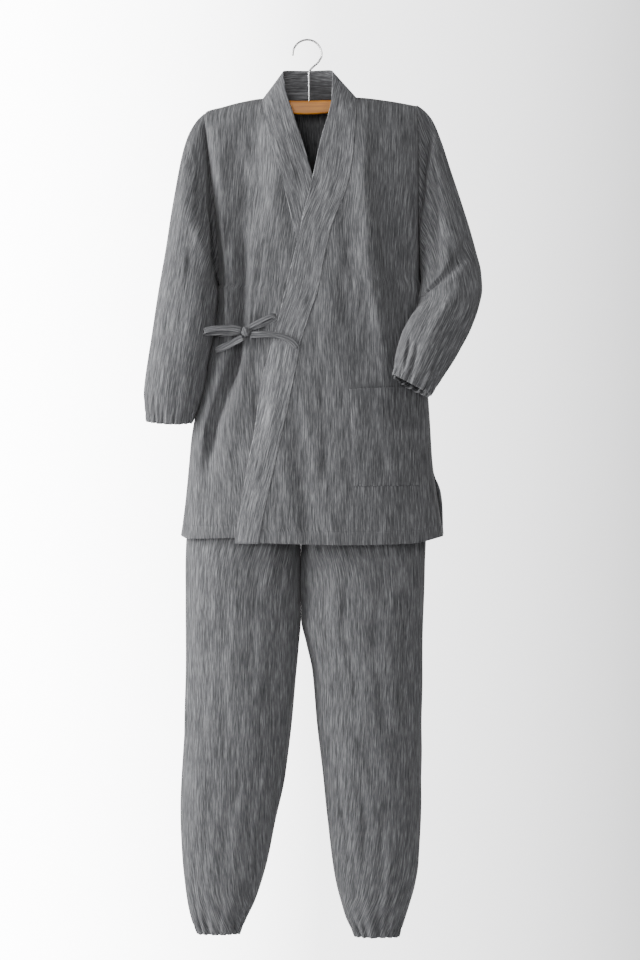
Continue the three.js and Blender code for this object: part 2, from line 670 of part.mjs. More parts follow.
// ---------------------------------------------------------------- trousers
// turn runs from -1 at the seam in front, through 0 at the outer line, to 1 at the
// seam behind. side is -1 for the wearer's right leg and +1 for the left one.
function legPoint(side, turn, outerX, innerX, front, behind, join) {
  const power = 2 / LEG_SQUARE;
  const depth = turn < 0 ? front : behind;
  const middle = (outerX + innerX) / 2;
  const half = Math.abs(outerX - innerX) / 2;
  const around = Math.PI * turn;
  const tube = {
    x: middle + side * half * signedPower(Math.cos(around), power),
    y: depth * signedPower(Math.sin(around), power),
  };
  const hip = {
    x: innerX + side * 2 * half * Math.max(Math.cos(around / 2), 0) ** power,
    y: depth * signedPower(Math.sin(around / 2), power),
  };
  const slit = Math.abs(turn) > 0.999 ? LEG_GAP : 0;
  return {
    x: mix(tube.x, hip.x, join) + side * slit,
    y: mix(tube.y, hip.y, join) + Math.sign(turn) * slit,
  };
}

function legGeometry(table, side, phase) {
  const rings = table.map(([drop, outerX, innerX, front, behind], k) => {
    const gatherRing = k - (table.length - LEG_GATHER_RINGS);
    const segments = gatherRing >= 0 ? LEG_SEGMENTS * 2 : LEG_SEGMENTS;
    const height = gatherRing >= 0 ? (GATHER_HEIGHT * (gatherRing + 1)) / LEG_GATHER_RINGS : 0;
    const rise = clamp((CROTCH - drop) / HIP_HEIGHT, 0, 1);
    const join = Math.sqrt(1 - (1 - rise) ** 2);
    const middleX = (outerX + innerX) / 2;
    return Array.from({ length: segments + 1 }, (_, j) => {
      const turn = side * mix(-1, 1, j / segments);
      const { x, y } = legPoint(side, turn, outerX, innerX, front, behind, join);
      const away = new THREE.Vector3(x - middleX, y, 0).normalize();
      const flat = smooth((1 - Math.abs(turn)) / 0.08);
      const bump = height * flat * gatherBump(Math.PI * turn, LEG_GATHERS, phase);
      return new THREE.Vector3(x, y, -drop).addScaledVector(away, bump);
    });
  });
  const numbers = numberRows(rings, false);
  const points = rings.flat();
  const triangles = weave(numbers);
  const normals = vertexNormals(points, triangles);
  numbers.forEach((row, k) => {
    const axis = table[k][0] < CROTCH - 1 ? 'x' : 'y';
    flatten(normals[row[0]], axis);
    flatten(normals[row[row.length - 1]], axis);
  });
  for (const vertex of numbers[0]) flatten(normals[vertex], 'z');
  return thicken(points, normals, triangles, CLOTH);
}

// The waistband widens downwards to meet the tops of both legs.
function waistbandGeometry() {
  const bottom = RIGHT_LEG[0][0] - SEAM;
  const rows = [
    { drop: WAIST.top, right: WAIST.middle - WAIST.halfWidth, left: WAIST.middle + WAIST.halfWidth,
      front: WAIST.front, behind: WAIST.back },
    { drop: bottom, right: RIGHT_LEG[0][1], left: LEFT_LEG[0][1],
      front: RIGHT_LEG[0][3], behind: RIGHT_LEG[0][4] },
  ];
  const cells = LEG_SEGMENTS;
  const rings = rows.map(({ drop, right, left, front, behind }) => {
    const ring = [];
    for (const side of [-1, 1]) {
      const outerX = side < 0 ? right : left;
      const inner = RIGHT_LEG[0][2];
      for (let j = 0; j < cells; j += 1) {
        const turn = side * mix(-1, 1, j / cells);
        const { x, y } = legPoint(side, turn, outerX, inner, front, behind, 1);
        const onSeam = j === 0 ? inner : x;
        ring.push(new THREE.Vector3(onSeam, y, -drop));
      }
    }
    return ring;
  });
  const numbers = numberRows(rings, true);
  const points = rings.flat();
  const triangles = weave(numbers);
  const normals = vertexNormals(points, triangles);
  for (const normal of normals) flatten(normal, 'z');
  return thicken(points, normals, triangles, BAND);
}

// ---------------------------------------------------------------- pocket and ties
function pocketGeometry() {
  const { across, down } = POCKET_CELLS;
  const grid = [];
  for (let i = 0; i <= down; i += 1) {
    const v = i / down;
    const row = [];
    for (let j = 0; j <= across; j += 1) {
      const u = j / across;
      const x = mix(mix(POCKET.topOuter[0], POCKET.topSide[0], u),
        mix(POCKET.lowOuter[0], POCKET.lowSide[0], u), v);
      const drop = mix(mix(POCKET.topOuter[1], POCKET.topSide[1], u),
        mix(POCKET.lowOuter[1], POCKET.lowSide[1], u), v);
      const bulge = POCKET.fullness * Math.sin(Math.PI * u) * Math.cos((Math.PI / 2) * v ** 1.5);
      row.push(liftedPoint(x, drop, CLOTH + POCKET.gap + bulge));
    }
    grid.push(row);
  }
  const points = grid.flat();
  const triangles = weave(numberRows(grid, false));
  return thicken(points, vertexNormals(points, triangles), triangles, CLOTH);
}

// A flat strip of even width along its route.
function stripGeometry({ route, width, thick, across }) {
  const centres = route.map(([x, y, drop]) => new THREE.Vector3(x, y, -drop));
  const wide = new THREE.Vector3(across[0], 0, across[1]).normalize();
  const sections = centres.map((centre, k) => {
    const before = centres[Math.max(k - 1, 0)];
    const after = centres[Math.min(k + 1, centres.length - 1)];
    const along = after.clone().sub(before).normalize();
    const cross = wide.clone().addScaledVector(along, -wide.dot(along)).normalize();
    const out = along.clone().cross(cross).normalize();
    return [[-1, -1], [1, -1], [1, 1], [-1, 1]].map(([a, b]) => centre.clone()
      .addScaledVector(cross, (a * width) / 2)
      .addScaledVector(out, (b * thick) / 2));
  });
  const positions = sections.flat().flatMap((p) => [p.x, p.y, p.z]);
  const index = [];
  const last = sections.length - 1;
  for (let k = 0; k < last; k += 1) {
    for (let j = 0; j < 4; j += 1) {
      const a = 4 * k + j;
      const b = 4 * k + ((j + 1) % 4);
      index.push(a, b, b + 4, a, b + 4, a + 4);
    }
  }
  index.push(0, 2, 1, 0, 3, 2);
  const end = 4 * last;
  index.push(end, end + 1, end + 2, end, end + 2, end + 3);
  const geometry = new THREE.BufferGeometry();
  geometry.setAttribute('position', new THREE.Float32BufferAttribute(positions, 3));
  geometry.setIndex(index);
  return geometry;
}

// The knot is a rounded block.
function knotGeometry() {
  const geometry = new THREE.SphereGeometry(1, 12, 8);
  const position = geometry.getAttribute('position');
  const [halfX, halfY, halfZ] = KNOT.half;
  for (let i = 0; i < position.count; i += 1) {
    const x = signedPower(position.getX(i), 0.7);
    const y = signedPower(position.getY(i), 0.7);
    const z = signedPower(position.getZ(i), 0.7);
    position.setXYZ(i, KNOT.x + halfX * x, KNOT.y - halfY * z, -KNOT.drop + halfZ * y);
  }
  geometry.deleteAttribute('normal');
  geometry.deleteAttribute('uv');
  return mergeVertices(geometry, 0.001);
}

// ---------------------------------------------------------------- hanger
function barTop(x) {
  const fromStem = Math.abs(x - STEM_X);
  const dip = 2 * smooth(1 - fromStem / 78) + BAR_END_DIP * smooth((fromStem - 95) / 70);
  return shoulderDrop(x) + BAR_BELOW_SHOULDER + dip;
}

// Height of the bar's face, less towards the ends.
function barHeight(x) {
  return mix(BAR_HEIGHT.middle, BAR_HEIGHT.end, smooth(Math.abs(x - STEM_X) / 170));
}

function hookRoute() {
  const points = [];
  const centreZ = WIRE - HOOK_RADIUS;
  for (let degrees = 187; degrees >= -15; degrees -= 12) {
    const angle = (degrees * Math.PI) / 180;
    points.push([HOOK_RADIUS * Math.cos(angle), centreZ + HOOK_RADIUS * Math.sin(angle)]);
  }
  points.push([18.5, -38], [11, -44.5], [5, -51], [STEM_X, -59], [STEM_X, -75]);
  points.push([STEM_X, 1 - STEM_HOLE.depth]);
  return points.map(([x, z]) => new THREE.Vector3(x, 0, z));
}

function hookGeometry() {
  const section = new THREE.Shape();
  section.absarc(0, 0, WIRE, 0, 2 * Math.PI, false);
  return new THREE.ExtrudeGeometry(section, {
    steps: 40, curveSegments: 4, extrudePath: new THREE.CatmullRomCurve3(hookRoute()), bevelEnabled: false,
  });
}

function toManifold(wasm, geometry) {
  const bare = geometry.clone();
  bare.deleteAttribute('normal');
  bare.deleteAttribute('uv');
  const merged = mergeVertices(bare, 0.0001);
  return new wasm.Manifold(new wasm.Mesh({
    numProp: 3,
    vertProperties: new Float32Array(merged.getAttribute('position').array),
    triVerts: new Uint32Array(merged.getIndex().array),
  }));
}

function fromManifold(solid) {
  const mesh = solid.getMesh();
  const geometry = new THREE.BufferGeometry();
  geometry.setAttribute('position', new THREE.Float32BufferAttribute(mesh.vertProperties, 3));
  geometry.setIndex(Array.from(mesh.triVerts));
  return geometry;
}

// The wooden bar, with a blind hole for the stem of the hook.
function barGeometry(wasm) {
  const cells = 20;
  const outline = new THREE.Shape();
  const inset = BAR_BEVEL;
  for (let i = 0; i <= cells; i += 1) {
    const x = mix(BAR_ENDS[0] + inset, BAR_ENDS[1] - inset, i / cells);
    const z = -(barTop(x) + inset);
    if (i === 0) outline.moveTo(x, z);
    else outline.lineTo(x, z);
  }
  for (let i = cells; i >= 0; i -= 1) {
    const x = mix(BAR_ENDS[0] + inset, BAR_ENDS[1] - inset, i / cells);
    outline.lineTo(x, -(barTop(x) + barHeight(x) - inset));
  }
  const bar = new THREE.ExtrudeGeometry(outline, {
    depth: BAR_THICK - 2 * BAR_BEVEL, bevelEnabled: true, bevelSize: BAR_BEVEL,
    bevelThickness: BAR_BEVEL, bevelSegments: 1,
  });
  bar.translate(0, 0, BAR_BEVEL - BAR_THICK / 2);
  bar.rotateX(Math.PI / 2);
  const radius = WIRE + STEM_HOLE.clearance;
  const length = 24;
  const hole = new THREE.CylinderGeometry(radius, radius, length, 12);
  hole.rotateX(Math.PI / 2);
  hole.translate(STEM_X, 0, length / 2 - STEM_HOLE.depth);
  return fromManifold(toManifold(wasm, bar).subtract(toManifold(wasm, hole)));
}

// ---------------------------------------------------------------- the object
const CLOTH_LOOK = { color: 0x5e5e61, roughness: 0.92, metalness: 0 };
const COLLAR_LOOK = { color: 0x636366, roughness: 0.92, metalness: 0 };
const WOOD_LOOK = { color: 0xa37040, roughness: 0.5, metalness: 0 };
const STEEL_LOOK = { color: 0xc9c9cb, roughness: 0.22, metalness: 1 };

const wasm = await Module();
wasm.setup();

const samue = new THREE.Group();

function add(name, geometry, look) {
  const mesh = new THREE.Mesh(geometry, new THREE.MeshStandardMaterial(look));
  mesh.name = name;
  samue.add(mesh);
}

add('jacket_back', back.geometry, CLOTH_LOOK);
add('jacket_front_left', outerFront.geometry, CLOTH_LOOK);
add('jacket_front_right', underFront.geometry, CLOTH_LOOK);
add('collar', collarGeometry(), COLLAR_LOOK);
add('sleeve_right', sleeveGeometry(RIGHT_SLEEVE, -1, rightSide, 0.4), CLOTH_LOOK);
add('sleeve_left', sleeveGeometry(LEFT_SLEEVE, 1, leftSide, 1.7), CLOTH_LOOK);
add('pocket', pocketGeometry(), CLOTH_LOOK);
add('trouser_leg_right', legGeometry(RIGHT_LEG, -1, 0.9), CLOTH_LOOK);
add('trouser_leg_left', legGeometry(LEFT_LEG, 1, 2.3), CLOTH_LOOK);
add('waistband', waistbandGeometry(), CLOTH_LOOK);
for (const [name, strip] of Object.entries(TIES)) add(name, stripGeometry(strip), CLOTH_LOOK);
add('bow_knot', knotGeometry(), CLOTH_LOOK);
add('hanger_bar', barGeometry(wasm), WOOD_LOOK);
add('hanger_hook', hookGeometry(), STEEL_LOOK);

export default samue;
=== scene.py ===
import math

import bpy
import numpy as np
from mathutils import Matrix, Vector


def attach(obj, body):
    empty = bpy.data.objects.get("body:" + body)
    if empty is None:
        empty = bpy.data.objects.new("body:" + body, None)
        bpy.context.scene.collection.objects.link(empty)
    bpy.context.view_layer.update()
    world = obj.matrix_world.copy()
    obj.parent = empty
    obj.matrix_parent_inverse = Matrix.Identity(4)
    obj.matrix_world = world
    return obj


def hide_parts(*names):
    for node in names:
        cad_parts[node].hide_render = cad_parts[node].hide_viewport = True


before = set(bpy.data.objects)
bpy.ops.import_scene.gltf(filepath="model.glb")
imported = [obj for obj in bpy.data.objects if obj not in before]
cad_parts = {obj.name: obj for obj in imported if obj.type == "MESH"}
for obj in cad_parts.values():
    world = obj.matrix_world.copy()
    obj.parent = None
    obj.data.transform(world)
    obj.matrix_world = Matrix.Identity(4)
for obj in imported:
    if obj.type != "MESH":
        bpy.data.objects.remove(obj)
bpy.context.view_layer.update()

# --- sizes of the object
SEAM = 0.3
LAYER = 1.0  # wall of a shown layer of cloth
DOUBLE = 2.2  # wall of the collar band and the waistband
STEP = 4.2  # size of a cell of a sheet

SHOULDER_FALL = 150
SHOULDER_ROUND = 1.6
BODY_SQUARE = 2.5
SLEEVE_SQUARE = 2.25
SLEEVE_TURN = 330  # a full turn of a sleeve, as its creases count it
LEG_SQUARE = 2.3
LEG_TURN = 200  # half a turn of a leg, as its creases count it
CUFF_GATHERS = 15
ANKLE_GATHERS = 17
WAIST_GATHERS = 34
HEM_HEIGHT = 22
ARMHOLE_HALF_DEPTH = 22
NECK_RIGHT = -78
NECK_LEFT = 86
NECK_HOLLOW = 86
LAYER_SINK = 5.2
SINK_START = 62
SINK_END = 10
VENT_TOP = 743
VENT_HALF_GAP = 9

RIGHT_SIDE = [
    [128, -179], [172, -173.5], [229, -167], [315, -158.6], [400, -152.6], [423.5, -152],
    [431, -156.5], [450, -156.5], [483, -162], [527, -168.5], [555, -175], [587, -181], [622, -187],
    [656, -195.5], [691, -201], [726, -204.2], [795, -210.7], [866, -219.5],
]
LEFT_SIDE = [
    [113, 189.8], [172, 191.5], [241, 192.4], [310, 191.8], [380, 193.2], [412, 194.6],
    [424, 199], [449, 198], [518, 200.2], [587, 207.1], [656, 212.3], [726, 216.6],
    [795, 226], [866, 236.5],
]
SHOULDER = [
    [-179, 128], [-173, 121.8], [-147.6, 114.9], [-116, 106.5], [-78, 100], [-30, 98],
    [40, 97],
    [86, 98], [143, 104.5], [189.8, 113],
]
OUTER_HEM = [[-124, 865.7], [-30, 869], [65, 871], [180, 868], [236, 856]]
UNDER_HEM = [[-219, 855], [-205, 860.5], [-116, 859], [90, 862]]
BACK_HEM = [[-219, 853], [-190, 858], [0, 860], [200, 858], [236, 853]]
RIGHT_ARMHOLE = {"top": 128, "bottom": 423.5}
LEFT_ARMHOLE = {"top": 113, "bottom": 417.6}
FRONT_DEPTH = [[100, 68], [250, 72], [450, 76], [600, 80], [750, 86], [870, 92]]
BACK_DEPTH = [[100, 48], [250, 48], [450, 50], [600, 54], [750, 61], [870, 68]]
OUTER_SEAM = [
    [98, 86], [120, 84.3], [146, 82.5], [172, 80.8], [206.6, 77.3], [241, 72.1], [265, 65.2],
    [296.5, 53.1], [328, 41], [380, 28.9], [440, 16.8], [480, 2.9], [520, -10], [587, -23],
    [653, -36.8], [712, -50.7], [767, -62.8], [817, -74.2], [866, -82.7],
]
UNDER_SEAM = [
    [100, -78.4], [123.5, -74.9], [151, -69.7], [184, -61.1], [210, -53.3], [236, -45.5],
    [286, -32.5], [348, -17.8], [411, -2.2], [480, 13.3], [601, 41], [679, 53], [741, 64.4],
    [796, 73.9], [866, 86],
]
OUTER_EDGE = [
    [48, 44.5], [103, 42.4], [132, 36.2], [163, 27], [197, 19.2], [234, 11.4], [262, 5.4],
    [300, -5], [348, -15.1], [410, -31], [480, -47.7], [601, -79.4], [679, -90],
    [741, -102.6], [796, -111], [866, -123.5],
]
UNDER_EDGE = [
    [51, -42.9], [94, -36.8], [117, -28.7], [151, -17.8], [182, -7.1], [216, 2.2], [236, 8.1],
    [286, 20.2], [348, 34.1], [411, 49.7], [480, 65.2], [601, 94.6], [679, 106.7],
    [741, 117.1], [796, 125.8], [866, 137.9],
]
OUTER_SQUARE = [
    [98, 54], [120, 92], [146, 124], [172, 153], [206, 190], [241, 227], [296, 284],
    [380, 368], [587, 575], [767, 760], [868, 868],
]
UNDER_SQUARE = [
    [100, 55], [123.5, 88], [151, 124], [184, 163], [210, 193], [236, 221], [286, 273],
    [348, 336], [480, 468], [740, 731], [862, 862],
]
NECK_EDGE_Y = [[98, -8], [123.5, -22], [151, -34], [184, -51], [215, -62]]
BACK_NECK = [
    [-78.4, -43, -8, 55], [-66, -41.5, 11, 51], [-52, -34, 23, 49.5], [-36, -24, 30, 49],
    [4, 2, 34.5, 49], [44, 28, 30, 48.5], [60, 37, 23, 48.5], [74, 42.5, 11, 50],
    [86, 44.5, -8, 54],
]
# Broad folds: route of [x, drop], depth inwards and width.
FRONT_FOLDS = [
    ([[-105, 250], [-112, 380], [-114, 505]], 6, 14),
    ([[-157, 190], [-148, 345], [-134, 500]], -6, 15),
    ([[-121, 525], [-142, 604], [-164, 691], [-178, 800]], 7, 15),
    ([[-140, 540], [-166, 622], [-184, 708], [-195, 835]], -4, 12),
    ([[132, 270], [152, 380], [172, 500]], 11, 24),
    ([[96, 180], [103, 380], [128, 500], [146, 560]], -5, 18),
    ([[-122, 155], [-124, 240]], 4, 20),
    ([[-20, 650], [-8, 740], [0, 860]], 5, 15),
    ([[40, 420], [46, 600]], -3, 18),
]
BACK_FOLDS = [
    ([[5, 130], [5, 420]], -13, 10),
    ([[-96, 230], [-120, 480]], 7, 20),
    ([[112, 210], [128, 520]], 8, 22),
    ([[-70, 660], [-96, 850]], 5, 20),
    ([[88, 680], [104, 850]], 5, 22),
]
RIGHT_SLEEVE = [
    [-180, 126.5, -153, 425.1, 23.5, 0],
    [-192, 138.5, -155, 427.5, 26, -2],
    [-206, 164, -153.8, 431, 32, -10],
    [-216, 200, -151.6, 437, 38, -21],
    [-227, 258, -151.4, 447, 42, -28],
    [-239, 328, -154.4, 471, 45, -28],
    [-251.5, 405.5, -158.3, 498, 46, -28],
    [-263.5, 483.5, -163.8, 527, 46, -29],
    [-274, 556, -174, 570, 44, -28],
    [-279, 594, -178, 598, 41, -27],
    [-280.8, 613, -182, 615, 38, -26],
    [-279.5, 632, -188, 634, 33, -25],
    [-275.5, 657, -199, 660, 28, -24],
]
LEFT_SLEEVE = [
    [191, 111.5, 194, 419.2, 23.5, 0],
    [203, 120, 195.6, 421.5, 26, -5],
    [218, 139, 195.4, 425.5, 31, -9],
    [232, 175, 194.6, 431, 37, -14],
    [247, 224, 193.6, 436, 42, -19],
    [264, 276, 192.6, 440, 45, -23],
    [280, 328, 191.8, 445, 47, -26],
    [291.5, 371, 191.6, 449, 49, -27],
    [298.5, 400, 191, 454, 50, -33],
    [300.5, 431.5, 190.5, 459, 49, -42],
    [295.5, 459, 187, 466, 46, -56],
    [283.5, 494, 178, 479, 42, -73],
    [266, 530, 164, 504, 38, -90],
    [247, 561, 154, 535, 35, -102.5],
    [235, 579, 150, 551, 33, -108],
    [221, 600, 147.5, 568, 30, -113],
    [209.5, 615, 146, 581, 27, -115],
]
RIGHT_LEG = [
    [600, -160.5, -3, 50, 51.3], [645, -175.5, -4, 55, 50.6], [691, -187.4, -6, 58, 50],
    [740, -196.5, -7.5, 61, 50], [795, -204.5, -9.2, 64, 51], [832, -207.5, -10.5, 65, 52],
    [850, -208.3, -10.9, 66, 53], [868, -209, -10.9, 66, 54], [920, -209.8, -10.9, 66, 60],
    [1000, -209.8, -10.9, 65, 62], [1042, -210, -14, 64.5, 61], [1090, -210.6, -18.5, 64, 60],
    [1180, -213, -26.5, 62, 58],
    [1270, -216.7, -38, 58, 54], [1350, -218.7, -55, 54, 50], [1415, -216.8, -68, 49, 45],
    [1460, -212, -81, 44, 41], [1490, -207, -92, 41, 38], [1516, -200.5, -105, 38, 36],
    [1531, -195, -112, 36, 35], [1543, -189, -118, 34, 34],
]
LEFT_LEG = [
    [600, 160, -3, 50, 51.3], [645, 175, -4, 55, 50.6], [691, 186.3, -6, 58, 50],
    [740, 195.5, -7.5, 61, 50], [795, 201.9, -9.2, 64, 51], [832, 204.3, -10.5, 65, 52],
    [850, 205, -10.9, 66, 53], [868, 205.4, -10.9, 66, 54], [920, 204, -10.9, 66, 60],
    [1000, 201.7, -10.9, 65, 62], [1042, 200, -2, 64.5, 61], [1090, 198.4, 8.4, 64, 60],
    [1180, 197.7, 16.4, 62, 58],
    [1270, 197, 27, 58, 54], [1350, 196, 35.2, 54, 50], [1415, 193.5, 43, 49, 45],
    [1460, 186, 50.5, 44, 41], [1490, 178, 58.5, 41, 38], [1516, 169.5, 66.5, 38, 36],
    [1531, 164.5, 73.5, 36, 35], [1548, 159, 82, 34, 34],
]
CROTCH = 850
HIP_HEIGHT = 130
WAIST = {"top": 565, "half_width": 145.5, "middle": -2, "front": 47, "behind": 50.8}
EDGE_FREE_ABOVE = 150
EDGE_LIES_BELOW = 215
POCKET = {"top": ([72.8, 605], [196, 600]), "low": ([80.8, 770.5], [193, 769]), "fullness": 2.5}

# Ties: name, route of [x, y, drop], width, thickness, direction across as [x, z].
TIES = [
    ("tie_front", [[-16.5, -80.3, 534], [-24, -80.1, 525.5], [-36, -79.7, 518], [-50, -79.2, 513.5],
                   [-64, -79, 511.5], [-80, -78, 511.5], [-97, -74, 511.5]], 11, 1.6, [0.3, 1]),
    ("bow_loop_left", [[-112.8, -74.5, 502.5], [-126, -75.5, 500.5], [-145, -76.5, 500.5],
                       [-162, -76, 502], [-173.5, -74.5, 504.5], [-175.5, -72, 507],
                       [-170, -70, 508], [-152, -70, 507], [-132, -70.5, 505.5],
                       [-112.8, -71.5, 504]], 10, 1.6, [0, 1]),
    ("tie_side", [[-153.5, -41, 510], [-150.5, -47, 509.5], [-146, -52.5, 509], [-139, -57.5, 508.5],
                  [-128, -62, 508], [-112.6, -65.5, 507]], 10, 1.6, [0, 1]),
    ("bow_loop_right", [[-99.2, -74.2, 498.8], [-86, -78.2, 492], [-72, -81.6, 484.5],
                        [-61, -82.6, 480], [-54.5, -81.8, 480.5], [-54.5, -79.8, 484],
                        [-64, -78.5, 488.5], [-80, -76.4, 495.5], [-97.6, -71, 501]], 8, 1.6, [-0.45, 0.9]),
    ("bow_tail", [[-110, -71, 516.2], [-120, -67.5, 521], [-131, -63.5, 527], [-144, -59, 533],
                  [-157, -51.5, 537.5]], 12, 1.6, [-0.5, 1]),
]
KNOT = {"x": -105, "y": -72.5, "drop": 507, "half": [7.5, 6, 8.5]}

HOOK_RADIUS = 24.9
WIRE = 1.7
STEM_X = 2.8
BAR_ENDS = [-154, 169]
BAR_HEIGHTS = [24, 15]  # at the stem and far from it
BAR_HALF_DEPTH = 6
BAR_ROUND = 3

VENT_OUT = 7  # how far the back stands out past the front at the left vent
GRAIN_FROM = 90  # length of sleeve over which its grain keeps one heading

VIEW_DISTANCE = 6.0
VIEW_HEIGHT = 1.661
VIEW_X = 0.022
VIEW_Z = -0.760
FLOOR = -1.9
FLOOR_RADIUS = 1.9
# The wall of light: share of the way from left to right, level.
WALL_TONES = [(0.0, 1.0), (0.5, 0.3), (1.0, 0.11)]
WALL_STRENGTH = 14.0
WALL_EDGE = 0.095
AMBIENT = 0.3

WOOD_TONES = [(0.34, (0.42, 0.13, 0.004)), (0.5, (0.6, 0.205, 0.006)), (0.66, (0.7, 0.29, 0.015))]
STEEL_TONES = [(0.3, (0.52, 0.52, 0.53)), (0.7, (0.68, 0.68, 0.67))]
FLOOR_TONES = [(0.3, (0.74, 0.74, 0.75)), (0.7, (0.78, 0.78, 0.79))]
# Tones of the yarns, dark to light, in linear colour.
TONES = [(0.036, 0.037, 0.039), (0.098, 0.099, 0.104), (0.24, 0.242, 0.25)]

# Narrow creases: line of [a, b], depth inwards (a ridge is below zero) and half width.
# On the body a and b are x and drop, on a sleeve the way round (330 a full turn, from
# the outer line) and down it, on a leg the way round (200 at the inner seam) and drop.
FRONT_CREASES = [
    ([[185, 620], [178, 560], [166, 450], [162, 370], [158, 280]], 9, 26),
    ([[162, 650], [140, 575], [131, 520], [125, 450], [114, 350], [104, 250], [98, 110]], -7, 15),
    ([[-130, 650], [-118, 560], [-108, 480], [-105, 400], [-105, 300]], 14, 8),
    ([[-138, 520], [-140, 450], [-144, 370], [-148, 280]], -8, 8),
    ([[-168, 760], [-155, 665], [-140, 620], [-118, 560], [-106, 480]], 15, 10),
    ([[-186, 760], [-174, 665], [-159, 620], [-138, 560], [-127, 500]], -4, 8),
    ([[-92, 380], [-88, 230], [-92, 85]], 17, 36),
    ([[-88, 720], [-74, 600], [-68, 520], [-72, 430]], 7, 22),
    ([[-128, 500], [-130, 420], [-126, 330]], -2.5, 8),
    ([[-100, 495], [-84, 430], [-70, 340]], 2.4, 6),
    ([[-118, 515], [-150, 560], [-168, 640]], 2.0, 6),
    ([[-96, 520], [-86, 600], [-92, 700]], 2.2, 7),
    ([[118, 210], [126, 330], [140, 440]], 2.4, 7),
    ([[170, 420], [166, 500], [176, 590]], 2.6, 7),
    ([[78, 300], [84, 420], [92, 560]], -1.6, 7),
    ([[20, 560], [30, 680], [24, 800]], 1.6, 8),
    ([[-150, 700], [-158, 780], [-156, 850]], 2.0, 7),
    ([[204, 640], [206, 720], [214, 800]], 2.0, 6),
]
BACK_CREASES = [
    ([[-90, 180], [-104, 300], [-96, 420]], 2.4, 6),
    ([[96, 170], [110, 290], [104, 400]], 2.4, 6),
    ([[-20, 300], [-26, 440], [-16, 560]], 1.8, 8),
    ([[44, 480], [38, 600], [46, 720]], 2.0, 8),
    ([[-60, 560], [-70, 660], [-58, 760]], 2.2, 7),
    ([[120, 560], [132, 660], [128, 780]], 2.2, 7),
    ([[-130, 420], [-142, 540], [-136, 640]], 2.4, 7),
]
RIGHT_SLEEVE_CREASES = [
    ([[286, 340], [276, 242], [266, 162], [258, 92], [248, 39], [232, 20], [202, 14]], -6, 24),
    ([[262, 130], [250, 40], [234, 18], [206, 10], [172, 8], [150, 8]], -10, 26),
    ([[178, 12], [222, 14]], 1.8, 4.5),
    ([[176, 24], [226, 27]], 1.6, 4.5),
    ([[180, 38], [214, 41]], 1.4, 4.5),
    ([[236, 60], [244, 180], [238, 300]], 2.0, 8),
    ([[212, 120], [206, 260], [214, 380]], -2.2, 8),
    ([[70, 80], [84, 220], [78, 360]], 2.8, 9),
    ([[110, 160], [104, 300], [112, 430]], 2.2, 8),
]
LEFT_SLEEVE_CREASES = [
    ([[-6, 12], [-45, 11], [-64, 7], [-96, 5]], 11, 7),
    ([[-14, 36], [-57, 25], [-76, 18], [-94, 15], [-130, 13]], -6, 9),
    ([[-44, 12], [-6, 14]], 1.6, 4.5),
    ([[-42, 24], [-8, 27]], 1.5, 4.5),
    ([[-100, 158], [-94, 130], [-82, 74], [-68, 48], [-62, 34]], 6.5, 11),
    ([[-12, 138], [-48, 142], [-66, 146], [-89, 152], [-119, 152], [-150, 158]], 8.5, 8),
    ([[-14, 158], [-48, 160], [-66, 163], [-89, 167], [-119, 163], [-150, 169]], -4, 6),
    ([[-66, 172], [-84, 201], [-88, 266], [-84, 337], [-80, 382]], -8, 15),
    ([[-30, 196], [-20, 250], [-30, 320]], 3.5, 16),
    ([[-62, 90], [-50, 120], [-46, 150]], 2.4, 8),
    ([[-128, 290], [-118, 330], [-110, 376]], 4.0, 5),
    ([[-104, 300], [-98, 340], [-96, 380]], 3.6, 5),
    ([[-60, 330], [-52, 360], [-50, 400]], 3.2, 6),
    ([[80, 60], [88, 180], [80, 300]], 3.0, 9),
    ([[60, 176], [100, 172], [140, 176]], 5.0, 9),
    ([[130, 200], [112, 260], [90, 330]], 3.4, 8),
]
RIGHT_LEG_CREASES = [
    ([[-120, 880], [-108, 1000], [-116, 1150]], 3.0, 7),
    ([[-88, 900], [-84, 1080], [-92, 1280]], 2.6, 8),
    ([[-150, 870], [-140, 960], [-146, 1080]], 2.8, 7),
    ([[-60, 950], [-66, 1100], [-58, 1240]], 2.2, 8),
    ([[-110, 1250], [-100, 1360], [-106, 1450]], 3.0, 7),
    ([[-136, 1200], [-128, 1330], [-134, 1440]], 2.4, 6),
    ([[-72, 1300], [-78, 1400], [-70, 1480]], 2.4, 6),
    ([[90, 880], [96, 1060], [88, 1260]], 2.8, 9),
    ([[130, 900], [122, 1040], [130, 1220]], 2.8, 8),
    ([[60, 1180], [68, 1320], [60, 1440]], 2.4, 8),
]
LEFT_LEG_CREASES = [
    ([[-112, 880], [-118, 1020], [-108, 1180]], 3.0, 7),
    ([[-84, 900], [-92, 1060], [-84, 1240]], 2.4, 8),
    ([[-146, 870], [-138, 980], [-146, 1100]], 3.0, 7),
    ([[-52, 940], [-58, 1120], [-50, 1280]], 2.4, 8),
    ([[-120, 1240], [-110, 1350], [-118, 1450]], 3.0, 7),
    ([[-90, 1300], [-96, 1400], [-88, 1490]], 2.4, 6),
    ([[-140, 1180], [-148, 1300], [-138, 1420]], 2.4, 6),
    ([[88, 890], [82, 1080], [92, 1260]], 2.8, 9),
    ([[128, 900], [134, 1060], [124, 1240]], 2.8, 8),
    ([[64, 1200], [58, 1330], [66, 1450]], 2.4, 8),
]

# --- curves and creases
def mix(a, b, share):
    return a + (b - a) * share


def smooth(value):
    t = np.clip(value, 0, 1)
    return t * t * (3 - 2 * t)


def signed_power(value, power):
    return np.sign(value) * np.abs(value) ** power


